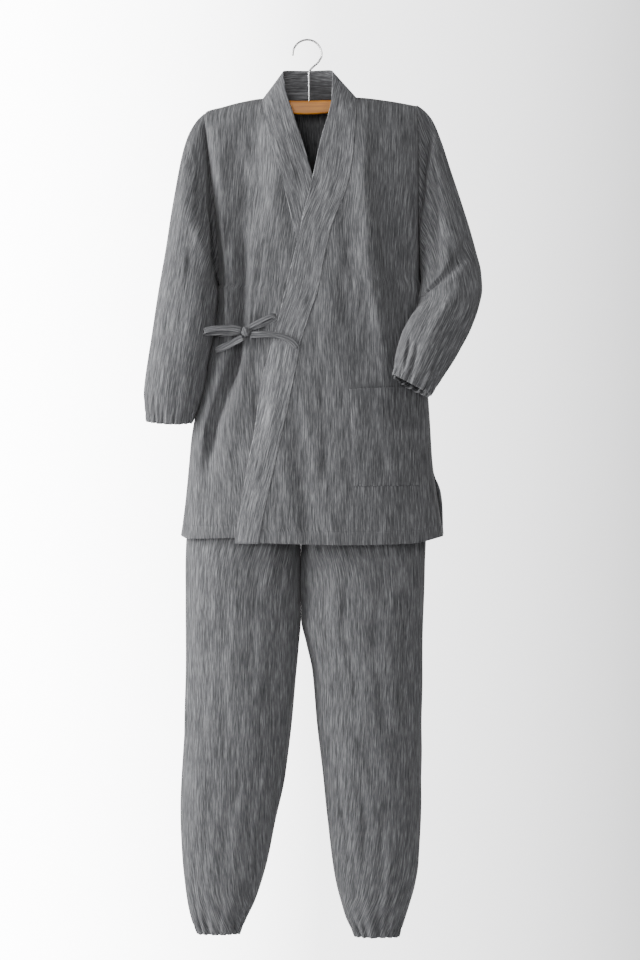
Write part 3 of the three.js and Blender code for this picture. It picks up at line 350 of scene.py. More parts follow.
def curve(rows, at, column=1):
    """Monotone cubic through rows of [at, ...values], for an array of places."""
    table = np.asarray(rows, float)
    place, value = table[:, 0], table[:, column]
    slope = np.diff(value) / np.diff(place)
    before, after = slope[:-1], slope[1:]
    total = np.where(before * after <= 0, 1, before + after)
    inner = np.where(before * after <= 0, 0, 2 * before * after / total)
    tangent = np.concatenate([slope[:1], inner, slope[-1:]])
    at = np.clip(at, place[0], place[-1])
    k = np.clip(np.searchsorted(place, at) - 1, 0, len(place) - 2)
    span = place[k + 1] - place[k]
    t = (at - place[k]) / span
    return (
        value[k] * (1 + 2 * t) * (1 - t) ** 2 + value[k + 1] * t * t * (3 - 2 * t)
        + span * t * (1 - t) * (tangent[k] * (1 - t) - tangent[k + 1] * t)
    )


def soft_folds(folds, x, drop):
    """Depth of broad folds whose routes are [x, drop]."""
    total = np.zeros(np.broadcast(x, drop).shape)
    for line, depth, width in folds:
        route = [[b, a] for a, b in line]
        along = (drop - route[0][0]) / (route[-1][0] - route[0][0])
        fade = smooth((along + 0.25) / 0.5) * smooth((1.25 - along) / 0.5)
        aside = (x - curve(route, drop)) / width
        total += depth * fade * np.exp(-(aside**2))
    return total


def crease_depth(creases, a, b):
    """Depth of narrow creases along open lines of [a, b]. Each fades at its ends and is
    steeper on one side."""
    total = np.zeros(np.broadcast(a, b).shape)
    for line, depth, width in creases:
        points = np.asarray(line, float)
        spans = np.diff(points, axis=0)
        lengths = np.hypot(spans[:, 0], spans[:, 1])
        start = np.concatenate([[0], np.cumsum(lengths)])
        nearest = np.full(total.shape, 1e9)
        side = np.zeros(total.shape)
        along = np.zeros(total.shape)
        for p, span, length, before in zip(points, spans, lengths, start):
            to_a, to_b = a - p[0], b - p[1]
            t = np.clip((to_a * span[0] + to_b * span[1]) / length**2, 0, 1)
            away = np.hypot(to_a - t * span[0], to_b - t * span[1])
            closer = away < nearest
            nearest = np.where(closer, away, nearest)
            side = np.where(closer, np.sign(to_a * span[1] - to_b * span[0]), side)
            along = np.where(closer, (before + t * length) / start[-1], along)
        wide = width * (1 + 0.45 * side)
        fade = smooth(along / 0.3) * smooth((1 - along) / 0.3)
        total += depth * fade * np.exp(-((nearest / wide) ** 2))
    return total


def unevenness(u, v, seed, height=0.8):
    """Slow, mostly upright waves, as cloth has when it hangs."""
    draw = np.random.default_rng(seed)
    total = np.zeros(np.broadcast(u, v).shape)
    for wave in (31, 47, 74):
        tall = wave * draw.uniform(4, 7)
        p, q, r = draw.uniform(0, 2 * math.pi, 3)
        lean = 0.9 * np.sin(2 * math.pi * v / (tall * 1.7) + r)
        total += (wave / 74) ** 0.7 * np.sin(2 * math.pi * u / wave + p + lean) * np.sin(
            2 * math.pi * v / tall + q
        )
    return height * total


# --- the body's surface
def right_side(drop):
    return curve(RIGHT_SIDE, drop)


def left_side(drop):
    return curve(LEFT_SIDE, drop)


def shoulder_drop(x):
    return curve(SHOULDER, x)


def side_opening(armhole, drop):
    middle = (armhole["top"] + armhole["bottom"]) / 2
    half = (armhole["bottom"] - armhole["top"]) / 2
    around = 1 - ((drop - middle) / half) ** 2
    above = SEAM / 2 + ARMHOLE_HALF_DEPTH * np.sqrt(np.maximum(around, 0))
    below = SEAM / 2 + VENT_HALF_GAP * smooth((drop - VENT_TOP) / 130)
    return np.where(around > 0, above, below)


def body_depth(x, drop, depth, height):
    left, right = left_side(drop), right_side(drop)
    middle = (left + right) / 2
    across = np.clip(np.abs(x - middle) / ((left - right) / 2), 0, 1)
    swell = (1 - across**BODY_SQUARE) ** (1 / BODY_SQUARE)
    edge = np.where(
        x < middle, side_opening(RIGHT_ARMHOLE, drop), side_opening(LEFT_ARMHOLE, drop)
    )
    fall = np.clip(height / SHOULDER_FALL, 0, 1)
    rounding = (1 - (1 - fall) ** SHOULDER_ROUND) ** (1 / SHOULDER_ROUND)
    full = np.maximum(curve(depth, drop) * rounding, edge)
    return edge + (full - edge) * swell


def fold_room(x, drop):
    side = np.minimum(x - right_side(drop), left_side(drop) - x)
    return smooth((drop - shoulder_drop(x)) / 60) * smooth(side / 16)


def front_y(x, drop):
    depth = body_depth(x, drop, FRONT_DEPTH, drop - shoulder_drop(x))
    folds = soft_folds(FRONT_FOLDS, x, drop) + crease_depth(FRONT_CREASES, x, drop)
    folds += unevenness(x, drop, 3)
    return folds * fold_room(x, drop) - depth


def under_y(x, drop):
    edge = curve(OUTER_EDGE, drop)
    sink = LAYER_SINK * smooth((x - edge + SINK_START) / (SINK_START - SINK_END))
    return front_y(x, drop) + sink


def back_y(x, drop):
    middle = (NECK_LEFT + NECK_RIGHT) / 2
    across = np.abs(x - middle) / ((NECK_LEFT - NECK_RIGHT) / 2)
    hollow = NECK_HOLLOW * np.maximum(1 - across**2, 0) ** 0.8
    depth = body_depth(x, drop, BACK_DEPTH, drop - shoulder_drop(x) + hollow)
    folds = soft_folds(BACK_FOLDS, x, drop) + crease_depth(BACK_CREASES, x, drop)
    folds += unevenness(x, drop, 8)
    return depth - folds * fold_room(x, drop)


# --- meshes
def make_mesh(name, points, faces, uvs=None, material=None):
    mesh = bpy.data.meshes.new(name)
    mesh.from_pydata((np.asarray(points) / 1000).tolist(), [], faces.tolist())
    if uvs is not None:
        mesh.uv_layers.new(name="cloth").data.foreach_set("uv", np.asarray(uvs).ravel() / 100)
    mesh.shade_smooth()
    mesh.materials.append(material)
    piece = bpy.data.objects.new(name, mesh)
    bpy.context.collection.objects.link(piece)
    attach(piece, "root")
    return piece


def grid_normals(grid, closed):
    """Outward normals of a grid whose rows run down and columns run to the right."""
    down = np.gradient(grid, axis=0)
    if closed:
        right = np.roll(grid, -1, axis=1) - np.roll(grid, 1, axis=1)
    else:
        right = np.gradient(grid, axis=1)
    normal = np.cross(down, right)
    return normal / np.maximum(np.linalg.norm(normal, axis=2, keepdims=True), 1e-9)


def arc_across(grid, closed):
    """Distance along each row from its first column, in mm of cloth."""
    ring = np.concatenate([grid, grid[:, :1]], axis=1) if closed else grid
    steps = np.linalg.norm(np.diff(ring, axis=1), axis=2)
    return np.concatenate([np.zeros((len(grid), 1)), np.cumsum(steps, axis=1)], axis=1)


def line_length(line):
    """Distance along a line of points from its first one."""
    return np.concatenate([[0], np.cumsum(np.linalg.norm(np.diff(line, axis=0), axis=1))])


def unit(vectors):
    return vectors / np.linalg.norm(vectors, axis=1, keepdims=True)


def arc_down(grid):
    return line_length(grid[:, grid.shape[1] // 2])


def cells(rows, columns, closed=True):
    """Corners of each cell of a grid, with the cell's row and column."""
    i, j = np.meshgrid(
        np.arange(rows - 1), np.arange(columns if closed else columns - 1), indexing="ij"
    )
    i, j = i.ravel(), j.ravel()
    here, after = i * columns, (i + 1) * columns
    k = (j + 1) % columns
    return np.stack([here + j, after + j, after + k, here + k], 1), i, j


def capped_faces(rows, columns, turns=None):
    """Cells and caps of a tube whose last two points are the middles of its caps. With
    turns the faces look the other way, and start that many corners on."""
    j = np.arange(0, columns, 2)
    k = (j + 2) % columns
    low, middle = (rows - 1) * columns, np.full(len(j), rows * columns)
    caps = np.concatenate([
        np.stack([middle, j, j + 1, k], 1), np.stack([middle + 1, low + k, low + j + 1, low + j], 1),
    ])
    parts = [cells(rows, columns)[0], caps]
    if turns:
        parts = [np.roll(part[:, ::-1], turn, axis=1) for part, turn in zip(parts, turns)]
    return np.concatenate(parts)


def rim_loops(number, uv, closed):
    """Loops of the rim: points, uv at the start and end of each edge, points one cell in."""
    if closed:
        back = np.concatenate([[0], np.arange(number.shape[1] - 1, 0, -1)])
        return [
            (number[0, back], uv[0, :0:-1], uv[0, -2::-1], number[1, back]),
            (number[-1], uv[-1, :-1], uv[-1, 1:], number[-2]),
        ]
    loop = np.concatenate([number[:-1, 0], number[-1, :-1], number[:0:-1, -1], number[0, :0:-1]])
    inside = np.concatenate([number[:-1, 1], number[-2, :-1], number[:0:-1, -2], number[1, :0:-1]])
    flat_uv = uv.reshape(-1, 2)
    return [(loop, flat_uv[loop], flat_uv[np.roll(loop, -1)], inside)]


def shell(name, grid, wall, material, closed=False, u=None, v=None):
    """A closed sheet of even thickness behind a grid, with a rounded rim."""
    rows, columns = grid.shape[:2]
    outer = grid.reshape(-1, 3)
    inner = (grid - grid_normals(grid, closed) * wall).reshape(-1, 3)
    count = len(outer)
    u = arc_across(grid, closed) if u is None else u
    v = np.broadcast_to(arc_down(grid)[:, None] if v is None else v, u.shape)
    uv = np.stack([u, v], axis=2)
    quads, i, j = cells(rows, columns, closed)
    quad_uv = np.stack([uv[i, j], uv[i + 1, j], uv[i + 1, j + 1], uv[i, j + 1]], 1)
    points, faces, uvs = [outer, inner], [quads, quads[:, ::-1] + count], [quad_uv, quad_uv[:, ::-1]]
    rim_at = 2 * count
    for loop, start_uv, end_uv, inside in rim_loops(np.arange(count).reshape(rows, columns), uv, closed):
        away = outer[loop] - outer[inside]
        away /= np.maximum(np.linalg.norm(away, axis=1, keepdims=True), 1e-9)
        points.append((outer[loop] + inner[loop]) / 2 + away * wall * 0.45)
        p, q = loop, np.roll(loop, -1)
        m = rim_at + np.arange(len(loop))
        n = np.roll(m, -1)
        faces += [np.stack([q, p, m, n], 1), np.stack([n, m, p + count, q + count], 1)]
        uvs += [np.stack([end_uv, start_uv, start_uv, end_uv], 1)] * 2
        rim_at += len(loop)
    return make_mesh(name, np.concatenate(points), np.concatenate(faces), np.concatenate(uvs), material)


# --- body panels
def row_shares(length):
    """Rows down a panel: close under the shoulder ridge and at the hem, even between."""
    body = np.linspace(0, 1, int(length / STEP))
    top = 0.03 * np.linspace(0, 1, 9) ** 1.5
    hem = 1 - np.array([25, 23.4, 22, 20.6, 19, 2.5, 1]) / length
    rows = np.concatenate([top, body[body > 0.034], hem])
    return np.unique(np.round(rows, 5))


def panel_grid(shares, rows, edges, ends, y_at):
    """Rows of points between two edge lines x(drop) and two end lines drop(x)."""
    along, share = np.meshgrid(rows, shares, indexing="ij")
    x = np.zeros(along.shape)
    for _ in range(40):
        drop = mix(ends[0](x), ends[1](x), along)
        x = mix(edges[0](drop), edges[1](drop), share)
    return np.stack([x, y_at(x, drop), -drop], axis=2)


def hem_trough(grid, above, depth=0.5):
    """Presses the line where a turned-up hem is stitched."""
    length = arc_down(grid)
    from_end = length[-1] - length
    normal = grid_normals(grid, False)
    press = depth * np.exp(-(((from_end - above) / 1.3) ** 2)) - 0.25 * smooth(1 - from_end / above)
    return grid - normal * press[:, None, None]


def even(cells):
    return np.linspace(0, 1, cells + 1)


def near_edges(cells):
    """Even columns with one more just inside each edge."""
    return np.unique(np.concatenate([[0, 0.006, 1 - 0.006, 1], np.linspace(0, 1, cells + 1)]))


def steady(u):
    """Evens the flat coordinate from row to row, so that the grain runs straight past folds."""
    for _ in range(500):
        u[1:-1] = 0.5 * u[1:-1] + 0.25 * (u[:-2] + u[2:])
    return u


def make_front(name, edges, hem, y_at, material):
    cells = int(275 / STEP)
    grid = panel_grid(
        near_edges(cells), row_shares(760), edges, [shoulder_drop, lambda x: curve(hem, x)], y_at
    )
    grid = hem_trough(grid, HEM_HEIGHT)
    u = steady(grid[:, :1, 0] + arc_across(grid, False))
    return shell(name, grid, LAYER, material, u=u, v=-grid[:, :, 2])


def back_left_side(drop):
    """The back stands out a little past the front where the vent opens."""
    open_part = smooth((drop - VENT_TOP) / 40) * (1 - 0.8 * smooth((drop - 790) / 70))
    return left_side(drop) + VENT_OUT * open_part


def make_back(material):
    neck_from = (LEFT_SIDE[0][1] - NECK_LEFT) / (LEFT_SIDE[0][1] - RIGHT_SIDE[0][1])
    neck_to = (LEFT_SIDE[0][1] - NECK_RIGHT) / (LEFT_SIDE[0][1] - RIGHT_SIDE[0][1])
    neck = mix(neck_from, neck_to, (1 - np.cos(np.pi * even(44))) / 2)
    shares = np.unique(np.concatenate([near_edges(int(400 / STEP)), neck]))
    shares = shares[np.concatenate([[True], np.diff(shares) > 0.002])]
    grid = panel_grid(
        shares, row_shares(750), [back_left_side, right_side],
        [shoulder_drop, lambda x: curve(BACK_HEM, x)], back_y,
    )
    grid = hem_trough(grid, HEM_HEIGHT)
    u = arc_across(grid, False)
    u = steady(u - u[:, u.shape[1] // 2][:, None])
    return shell("back_cloth", grid, LAYER, material, u=u, v=-grid[:, :, 2])


# --- collar band
COLLAR_COLUMNS = np.array([0, 0.012, 0.05, 0.12, 0.2, 0.3, 0.4, 0.5, 0.6, 0.7, 0.8, 0.88, 0.95, 0.988, 1])


def front_band(drops, seam_line, edge_line, square_line, y_at, lift):
    """Rows of points from the seam to the free edge, beside a front."""
    seam_x = curve(seam_line, drops)
    last = drops >= drops.max() - 0.01
    edge_drop = np.where(last, drops, np.minimum(curve(square_line, drops), drops))
    edge_x = curve(edge_line, edge_drop)
    lies = smooth((drops - EDGE_FREE_ABOVE) / (EDGE_LIES_BELOW - EDGE_FREE_ABOVE))
    out = lift * smooth((drops - 105) / 60)
    seam_y = y_at(seam_x, drops) - out
    edge_y = mix(curve(NECK_EDGE_Y, drops), y_at(edge_x, edge_drop), lies) - out
    share = COLLAR_COLUMNS[None, :]
    x = mix(seam_x[:, None], edge_x[:, None], share)
    drop = mix(drops[:, None], edge_drop[:, None], share)
    y = mix(seam_y[:, None], edge_y[:, None], share)
    lying = y_at(x, drop) - out[:, None]
    y = np.where(share > 0, mix(y, lying, lies[:, None]), y)
    return np.stack([x, y, -drop], axis=2)


def neck_band(x):
    drop = shoulder_drop(x)
    seam = np.stack([x, back_y(x, drop), -drop], axis=1)
    edge = np.stack([curve(BACK_NECK, x), curve(BACK_NECK, x, 2), -curve(BACK_NECK, x, 3)], axis=1)
    return mix(seam[:, None, :], edge[:, None, :], COLLAR_COLUMNS[None, :, None])


def make_collar(material):
    outer_drops = np.concatenate([np.linspace(868, 115, 170), np.linspace(113, 99, 8)])
    under_drops = np.concatenate([np.linspace(101, 115, 8), np.linspace(118, 862, 160)])
    neck_x = mix(NECK_LEFT, NECK_RIGHT, (1 - np.cos(np.pi * even(48)[1:-1])) / 2)
    rows = np.concatenate([
        front_band(outer_drops, OUTER_SEAM, OUTER_EDGE, OUTER_SQUARE, front_y, 0.9),
        neck_band(neck_x),
        front_band(under_drops, UNDER_SEAM, UNDER_EDGE, UNDER_SQUARE, under_y, 0.6),
    ])
    for _ in range(2):
        rows[1:-1] = rows[1:-1] * 0.5 + (rows[:-2] + rows[2:]) * 0.25
    across = arc_across(rows, False)
    normal = grid_normals(rows, False)
    length = arc_down(rows)[:, None]
    ripple = 0.25 * np.sin(length / 9 + 2 * np.sin(length / 41)) * smooth(across / 6)
    pressed = 0.3 * np.exp(-(((across - 4) / 1.6) ** 2)) + ripple * 0.5
    rows = rows - normal * pressed[:, :, None]
    return shell("collar_band", rows, DOUBLE, material, u=across)


# --- gathers
def gather_wave(angle, gathers, phase):
    turn = gathers * angle + 0.8 * np.sin(3 * angle + phase)
    rounded = 2 * (0.5 + 0.5 * np.sin(turn)) ** 0.62 - 1.12
    return rounded * (0.75 + 0.25 * np.sin(2 * angle + 2 * phase))


def gathered(angle, from_end, gathers, phase, height, reach):
    """Height of the bumps that rise from an elastic, longer and shorter in turn."""
    long = reach * (1 + 0.45 * np.sin(5 * angle + phase) + 0.35 * np.sin(8 * angle + 2.3 * phase))
    fade = np.exp(-((from_end / long) ** 1.35))
    fine = 0.35 * np.sin((2 * gathers + 3) * angle + 2 * phase) * np.exp(-from_end / 14)
    casing = -0.75 * height * np.exp(-(((from_end - 13) / 2.6) ** 2))
    return height * (gather_wave(angle, gathers, phase) * fade + fine) + casing * 0.4


def press(grid, depth, closed):
    return grid - grid_normals(grid, closed) * depth[:, :, None]


def rows_along(total, step, close_at_end):
    """Even rows, closer together over the last stretch."""
    far = np.linspace(0, total - close_at_end, int((total - close_at_end) / step))
    near = np.linspace(total - close_at_end, total, int(close_at_end / (step * 0.5)))
    return np.concatenate([far, near[1:]])


# --- sleeves
def grain_of_tube(s, half, middle, across, down, depth, outward):
    """Flat coordinates on a sleeve: u round it and v along its grain, where the rings
    may be cut at a slant to the grain."""
    steps = np.diff(middle, axis=0, prepend=middle[:1])
    heading = np.gradient(middle, axis=0)
    upper = s[:, 0] < GRAIN_FROM
    heading[upper] = heading[~upper][0]
    for _ in range(60):
        heading[1:-1] = 0.5 * heading[1:-1] + 0.25 * (heading[:-2] + heading[2:])
    heading = unit(heading)
    aside = np.stack([-heading[:, 2], 0 * heading[:, 0], heading[:, 0]], 1)
    aside *= np.sign(aside[:, :1]) * outward
    wide = np.abs((half * aside).sum(axis=1))[:, None]
    slant = (half * heading).sum(axis=1)[:, None]
    flat_ring = np.stack(np.broadcast_arrays(across * wide, down * depth, 0 * across * wide), axis=2)
    arc = arc_across(flat_ring, True)
    outer = across.shape[1] // 2
    quarter = arc[:, outer : outer + 1] / 2
    drift = np.cumsum((steps * aside).sum(axis=1))[:, None]
    around = np.abs(arc - arc[:, outer : outer + 1])
    behind = np.append(np.sin(np.pi * 2 * np.arange(across.shape[1]) / across.shape[1]), 0) > 0
    behind = behind if outward < 0 else ~behind
    u = drift + quarter + np.where(behind, around, -around)
    v = np.cumsum((steps * heading).sum(axis=1))[:, None] + across * slant
    return u, np.concatenate([v, v[:, :1]], axis=1)


def make_sleeve(name, table, outward, armhole_x, phase, creases, dips, head_flat, seed, material):
    table = np.asarray(table, float)
    middle_line = np.stack([(table[:, 0] + table[:, 2]) / 2, table[:, 5],
                            (table[:, 1] + table[:, 3]) / 2], axis=1)
    start = line_length(middle_line)
    by_length = np.concatenate([start[:, None], table], axis=1)
    s = np.concatenate([[0, 0.8, 1.8], rows_along(start[-1], STEP, 46)[1:]])[:, None]
    columns = 168
    begin = -math.pi if outward > 0 else 0
    angle = (begin + 2 * math.pi * np.arange(columns) / columns)[None, :]
    out_x, out_drop, in_x, in_drop, depth, middle_y = (curve(by_length, s, c) for c in range(1, 7))
    ring = np.interp(s, start, np.arange(len(start)))
    power = 2 / mix(2, SLEEVE_SQUARE, smooth(ring / 3))
    across = signed_power(np.cos(angle), power) * outward
    down = signed_power(np.sin(angle), power)
    x = (out_x + in_x) / 2 + across * (out_x - in_x) / 2
    z = -(out_drop + in_drop) / 2 - across * (out_drop - in_drop) / 2
    early = 1 - smooth((ring - 2) / 4)
    y = middle_y * (1 - early * (1 + across * outward) / 2) + depth * down * (1 - head_flat * early)
    chord = mix(table[0, 0], table[0, 2], (-z - table[0, 1]) / (table[0, 3] - table[0, 1]))
    x = x + (1 - smooth(ring / 3)) * (armhole_x(-z) + outward * 0.1 - chord)
    grid = np.stack(np.broadcast_arrays(x, y, z), axis=2)
    middle = np.concatenate([(out_x + in_x) / 2, middle_y, -(out_drop + in_drop) / 2], axis=1)
    half = np.concatenate([(out_x - in_x) / 2, 0 * out_x, -(out_drop - in_drop) / 2], axis=1)
    u, v = grain_of_tube(s, half, middle, across, down, depth, outward)
    turn = np.broadcast_to(angle / (2 * math.pi), grid.shape[:2])
    from_end = start[-1] - s
    folds = crease_depth(creases, turn * SLEEVE_TURN, np.broadcast_to(s, turn.shape))
    folds += unevenness(turn * SLEEVE_TURN, s, seed, 0.9)
    by_body = smooth((1 + across * outward) / 0.2)
    folds *= mix(by_body, 1, smooth((s - 110) / 60))
    at_end = smooth(1 - from_end / 40)
    grid[:, :, 2] -= at_end * np.where(down < 0, -down * dips[0], down * dips[1])
    bumps = gathered(angle, from_end, CUFF_GATHERS, phase, 2.9, 34)
    grid = press(grid, folds * smooth(s / 9) - bumps * smooth(s / 40), True)
    return shell(name, grid, LAYER, material, closed=True, u=u, v=v)


# --- trousers
def leg_ring(side, turn, outer_x, inner_x, front, behind, join):
    power = 2 / LEG_SQUARE
    depth = np.where(turn < 0, front, behind)
    middle, half = (outer_x + inner_x) / 2, np.abs(outer_x - inner_x) / 2
    around = math.pi * turn
    tube_x = middle + side * half * signed_power(np.cos(around), power)
    tube_y = depth * signed_power(np.sin(around), power)
    hip_x = inner_x + side * 2 * half * np.maximum(np.cos(around / 2), 0) ** power
    hip_y = depth * signed_power(np.sin(around / 2), power)
    slit = np.where(np.abs(turn) > 0.999, 0.1, 0)
    return mix(tube_x, hip_x, join) + side * slit, mix(tube_y, hip_y, join) + np.sign(turn) * slit


def make_leg(name, table, side, phase, creases, seed, material):
    top, end = table[0][0], table[-1][0]
    drop = (top + rows_along(end - top, 4.8, 70))[:, None]
    turn = side * np.linspace(-1, 1, 169)[None, :]
    outer_x, inner_x, front, behind = (curve(table, drop, c) for c in range(1, 5))
    rise = np.clip((CROTCH - drop) / HIP_HEIGHT, 0, 1)
    join = np.sqrt(1 - (1 - rise) ** 2)
    x, y = leg_ring(side, turn, outer_x, inner_x, front, behind, join)
    grid = np.stack(np.broadcast_arrays(x, y, -drop), axis=2)
    u = arc_across(grid, False)
    u = steady(u - u[:, u.shape[1] // 2][:, None])
    quiet = smooth((1 - np.abs(turn)) / 0.06)
    around, down = np.broadcast_arrays(turn * LEG_TURN, drop)
    folds = crease_depth(creases, around, down)
    folds += unevenness(turn * LEG_TURN, drop, seed, 1.1)
    bumps = gathered(math.pi * turn, end - drop, ANKLE_GATHERS, phase, 3.2, 46)
    grid = press(grid, (folds - bumps) * quiet * smooth((drop - top) / 60), False)
    return shell(name, grid, LAYER, material, u=u, v=drop)


def make_waistband(material):
    drops = np.linspace(WAIST["top"], RIGHT_LEG[0][0], 12)[:, None]
    share = (drops - drops[0]) / (drops[-1] - drops[0])
    rings = []
    for side, table in ((-1, RIGHT_LEG), (1, LEFT_LEG)):
        turn = side * np.linspace(-1, 1, 97)[None, :-1]
        outer = mix(WAIST["middle"] + side * WAIST["half_width"], table[0][1], share)
        front = mix(WAIST["front"], table[0][3], share)
        behind = mix(WAIST["behind"], table[0][4], share)
        x, y = leg_ring(side, turn, outer, table[0][2], front, behind, 1.0)
        x[:, 0] = table[0][2]
        rings.append(np.stack([x, y, np.broadcast_to(-drops, x.shape)], axis=2))
    grid = np.concatenate(rings, axis=1)
    angle = np.linspace(0, 2 * math.pi, grid.shape[1], endpoint=False)[None, :]
    bumps = 0.9 * gather_wave(angle, WAIST_GATHERS, 0.7) * np.ones(drops.shape)
    return shell("waistband_cloth", press(grid, -bumps, True), DOUBLE, material, closed=True)


# --- pocket
def make_pocket(material):
    v, u = np.meshgrid(np.unique(np.concatenate([[0.008, 0.985], even(40)])),
                       np.unique(np.concatenate([[0.012, 0.988], even(30)])), indexing="ij")
    top_outer, top_side = POCKET["top"]
    low_outer, low_side = POCKET["low"]
    x = mix(mix(top_outer[0], top_side[0], u), mix(low_outer[0], low_side[0], u), v)
    drop = mix(mix(top_outer[1], top_side[1], u), mix(low_outer[1], low_side[1], u), v)
    base = np.stack([x, front_y(x, drop), -drop], axis=2)
    loose = np.sin(np.pi * u) * np.cos(np.pi / 2 * v**1.5)
    edge = np.minimum(np.minimum(u, 1 - u) * 120, (1 - v) * 165)
    lift = 1.3 + POCKET["fullness"] * loose + 0.5 * smooth(edge / 5)
    lift += 0.4 * unevenness(x, drop, 21)
    lift -= 0.35 * np.exp(-(((edge - 2.5) / 1.2) ** 2))
    grid = base + grid_normals(base, False) * lift[:, :, None]
    return shell("pocket_cloth", grid, LAYER, material, u=x, v=drop)


# --- ties and knot
def smooth_route(route, step=1.6):
    """Catmull-Rom through the points, at even steps."""
    p = np.asarray([[x, y, -drop] for x, y, drop in route], float)
    p = np.concatenate([[2 * p[0] - p[1]], p, [2 * p[-1] - p[-2]]])
    places = []
    for a, b, c, d in zip(p, p[1:], p[2:], p[3:]):
        count = max(int(np.linalg.norm(c - b) / step), 2)
        t = np.linspace(0, 1, count, endpoint=False)[:, None]
        places.append(0.5 * (2 * b + (c - a) * t + (2 * a - 5 * b + 4 * c - d) * t**2
                             + (3 * b - a - 3 * c + d) * t**3))
    return np.concatenate(places + [p[-2:-1]])


def make_strip(name, route, width, thick, across, seed, material):
    centre = smooth_route(route)
    along = unit(np.gradient(centre, axis=0))
    wide = np.array([across[0], 0, across[1]]) / math.hypot(*across)
    cross = unit(wide - along * (along @ wide)[:, None])
    out = np.cross(along, cross)
    length = line_length(centre)
    angle = np.linspace(0, 2 * math.pi, 28, endpoint=False)[None, :]
    draw = np.random.default_rng(seed)
    ends = smooth(length / 7) * smooth((length[-1] - length) / 7)
    narrow = 1 - 0.16 * (1 - ends) + 0.04 * np.sin(length / 6 + draw.uniform(0, 6))
    side = signed_power(np.cos(angle), 0.5) * (width / 2) * narrow[:, None]
    front = signed_power(np.sin(angle), 0.7) * thick / 2
    crease = 0.28 * np.sin(side / 1.7 + np.sin(length / 9)[:, None] + draw.uniform(0, 6))
    curl = 0.5 * (side / (width / 2)) ** 2 * np.sin(length / 13 + draw.uniform(0, 6))[:, None]
    place = centre[:, None, :] + cross[:, None, :] * side[:, :, None]
    place += out[:, None, :] * (front + (crease * 0.5 + curl) * ends[:, None])[:, :, None]
    rows, columns = place.shape[:2]
    points = np.concatenate([place.reshape(-1, 3), centre[:1], centre[-1:]])
    faces = capped_faces(rows, columns, (1, 0))
    u = np.concatenate([side.ravel(), [0, 0]])
    v = np.concatenate([np.repeat(length, columns), [0, length[-1]]])
    return make_mesh(name, points, faces, np.stack([u, v], 1)[faces], material)


def make_knot(material):
    """The knot: a rounded lump, with one turn of the tie wrapped over its middle."""
    rows, columns = 29, 44
    polar = np.linspace(0, math.pi, rows)[1:-1][:, None]
    angle = np.linspace(0, 2 * math.pi, columns, endpoint=False)[None, :]
    x = signed_power(np.sin(polar) * np.cos(angle), 0.75)
    y = signed_power(np.sin(polar) * np.sin(angle), 0.75)
    z = signed_power(np.cos(polar) * np.ones(angle.shape), 0.75)
    lean = x + 0.25 * z
    wrap = smooth((0.62 - np.abs(lean)) / 0.12)
    crease = 0.05 * np.sin(9 * lean + 1.5 * z) + 0.04 * np.sin(7 * z - 3 * x)
    swell = 0.86 + 0.14 * wrap + crease - 0.1 * np.exp(-(((np.abs(lean) - 0.66) / 0.07) ** 2))
    half = KNOT["half"]
    place = np.stack([KNOT["x"] + half[0] * x * (0.9 + 0.1 * swell), KNOT["y"] + half[1] * y * swell,
                      -KNOT["drop"] + half[2] * z * swell], axis=2)
    poles = [[KNOT["x"], KNOT["y"], way * half[2] * 0.85 - KNOT["drop"]] for way in (1, -1)]
    points = np.concatenate([place.reshape(-1, 3), poles])
    faces = capped_faces(rows - 2, columns)
    uv = np.stack([points[:, 0] + points[:, 1], points[:, 2]], 1)
    return make_mesh("knot_cloth", points, faces, uv[faces], material)


# --- hanger
def make_bar(material):
    x = np.concatenate([[BAR_ENDS[0] + d for d in (0, 0.4, 1.2, 2.4)],
                        np.linspace(BAR_ENDS[0] + 4, BAR_ENDS[1] - 4, 110),
                        [BAR_ENDS[1] - d for d in (2.4, 1.2, 0.4, 0)]])
    end = np.minimum(x - BAR_ENDS[0], BAR_ENDS[1] - x)
    pull = BAR_ROUND - np.sqrt(np.maximum(BAR_ROUND**2 - (BAR_ROUND - np.minimum(end, BAR_ROUND)) ** 2, 0))
    from_stem = np.abs(x - STEM_X)
    top = shoulder_drop(x) + 4.6 + 2 * smooth(1 - from_stem / 78) + 3 * smooth((from_stem - 95) / 70)
    height = mix(*BAR_HEIGHTS, smooth(from_stem / 170))
    angle = np.linspace(0, 2 * math.pi, 48, endpoint=False)[None, :]
    half_y, half_z = BAR_HALF_DEPTH - pull[:, None], height[:, None] / 2 - pull[:, None]
    y = half_y * signed_power(np.cos(angle), 0.42)
    z = -(top + height / 2)[:, None] + half_z * signed_power(np.sin(angle), 0.2)
    grid = np.stack(np.broadcast_arrays(x[:, None], y, z), axis=2)
    rows, columns = grid.shape[:2]
    points = np.concatenate([grid.reshape(-1, 3), grid[:1].mean(axis=1), grid[-1:].mean(axis=1)])
    faces = capped_faces(rows, columns, (0, 1))
    uv = np.stack([points[:, 0], points[:, 2] + points[:, 1]], 1)
    return make_mesh("bar_wood", points, faces, uv[faces], material)


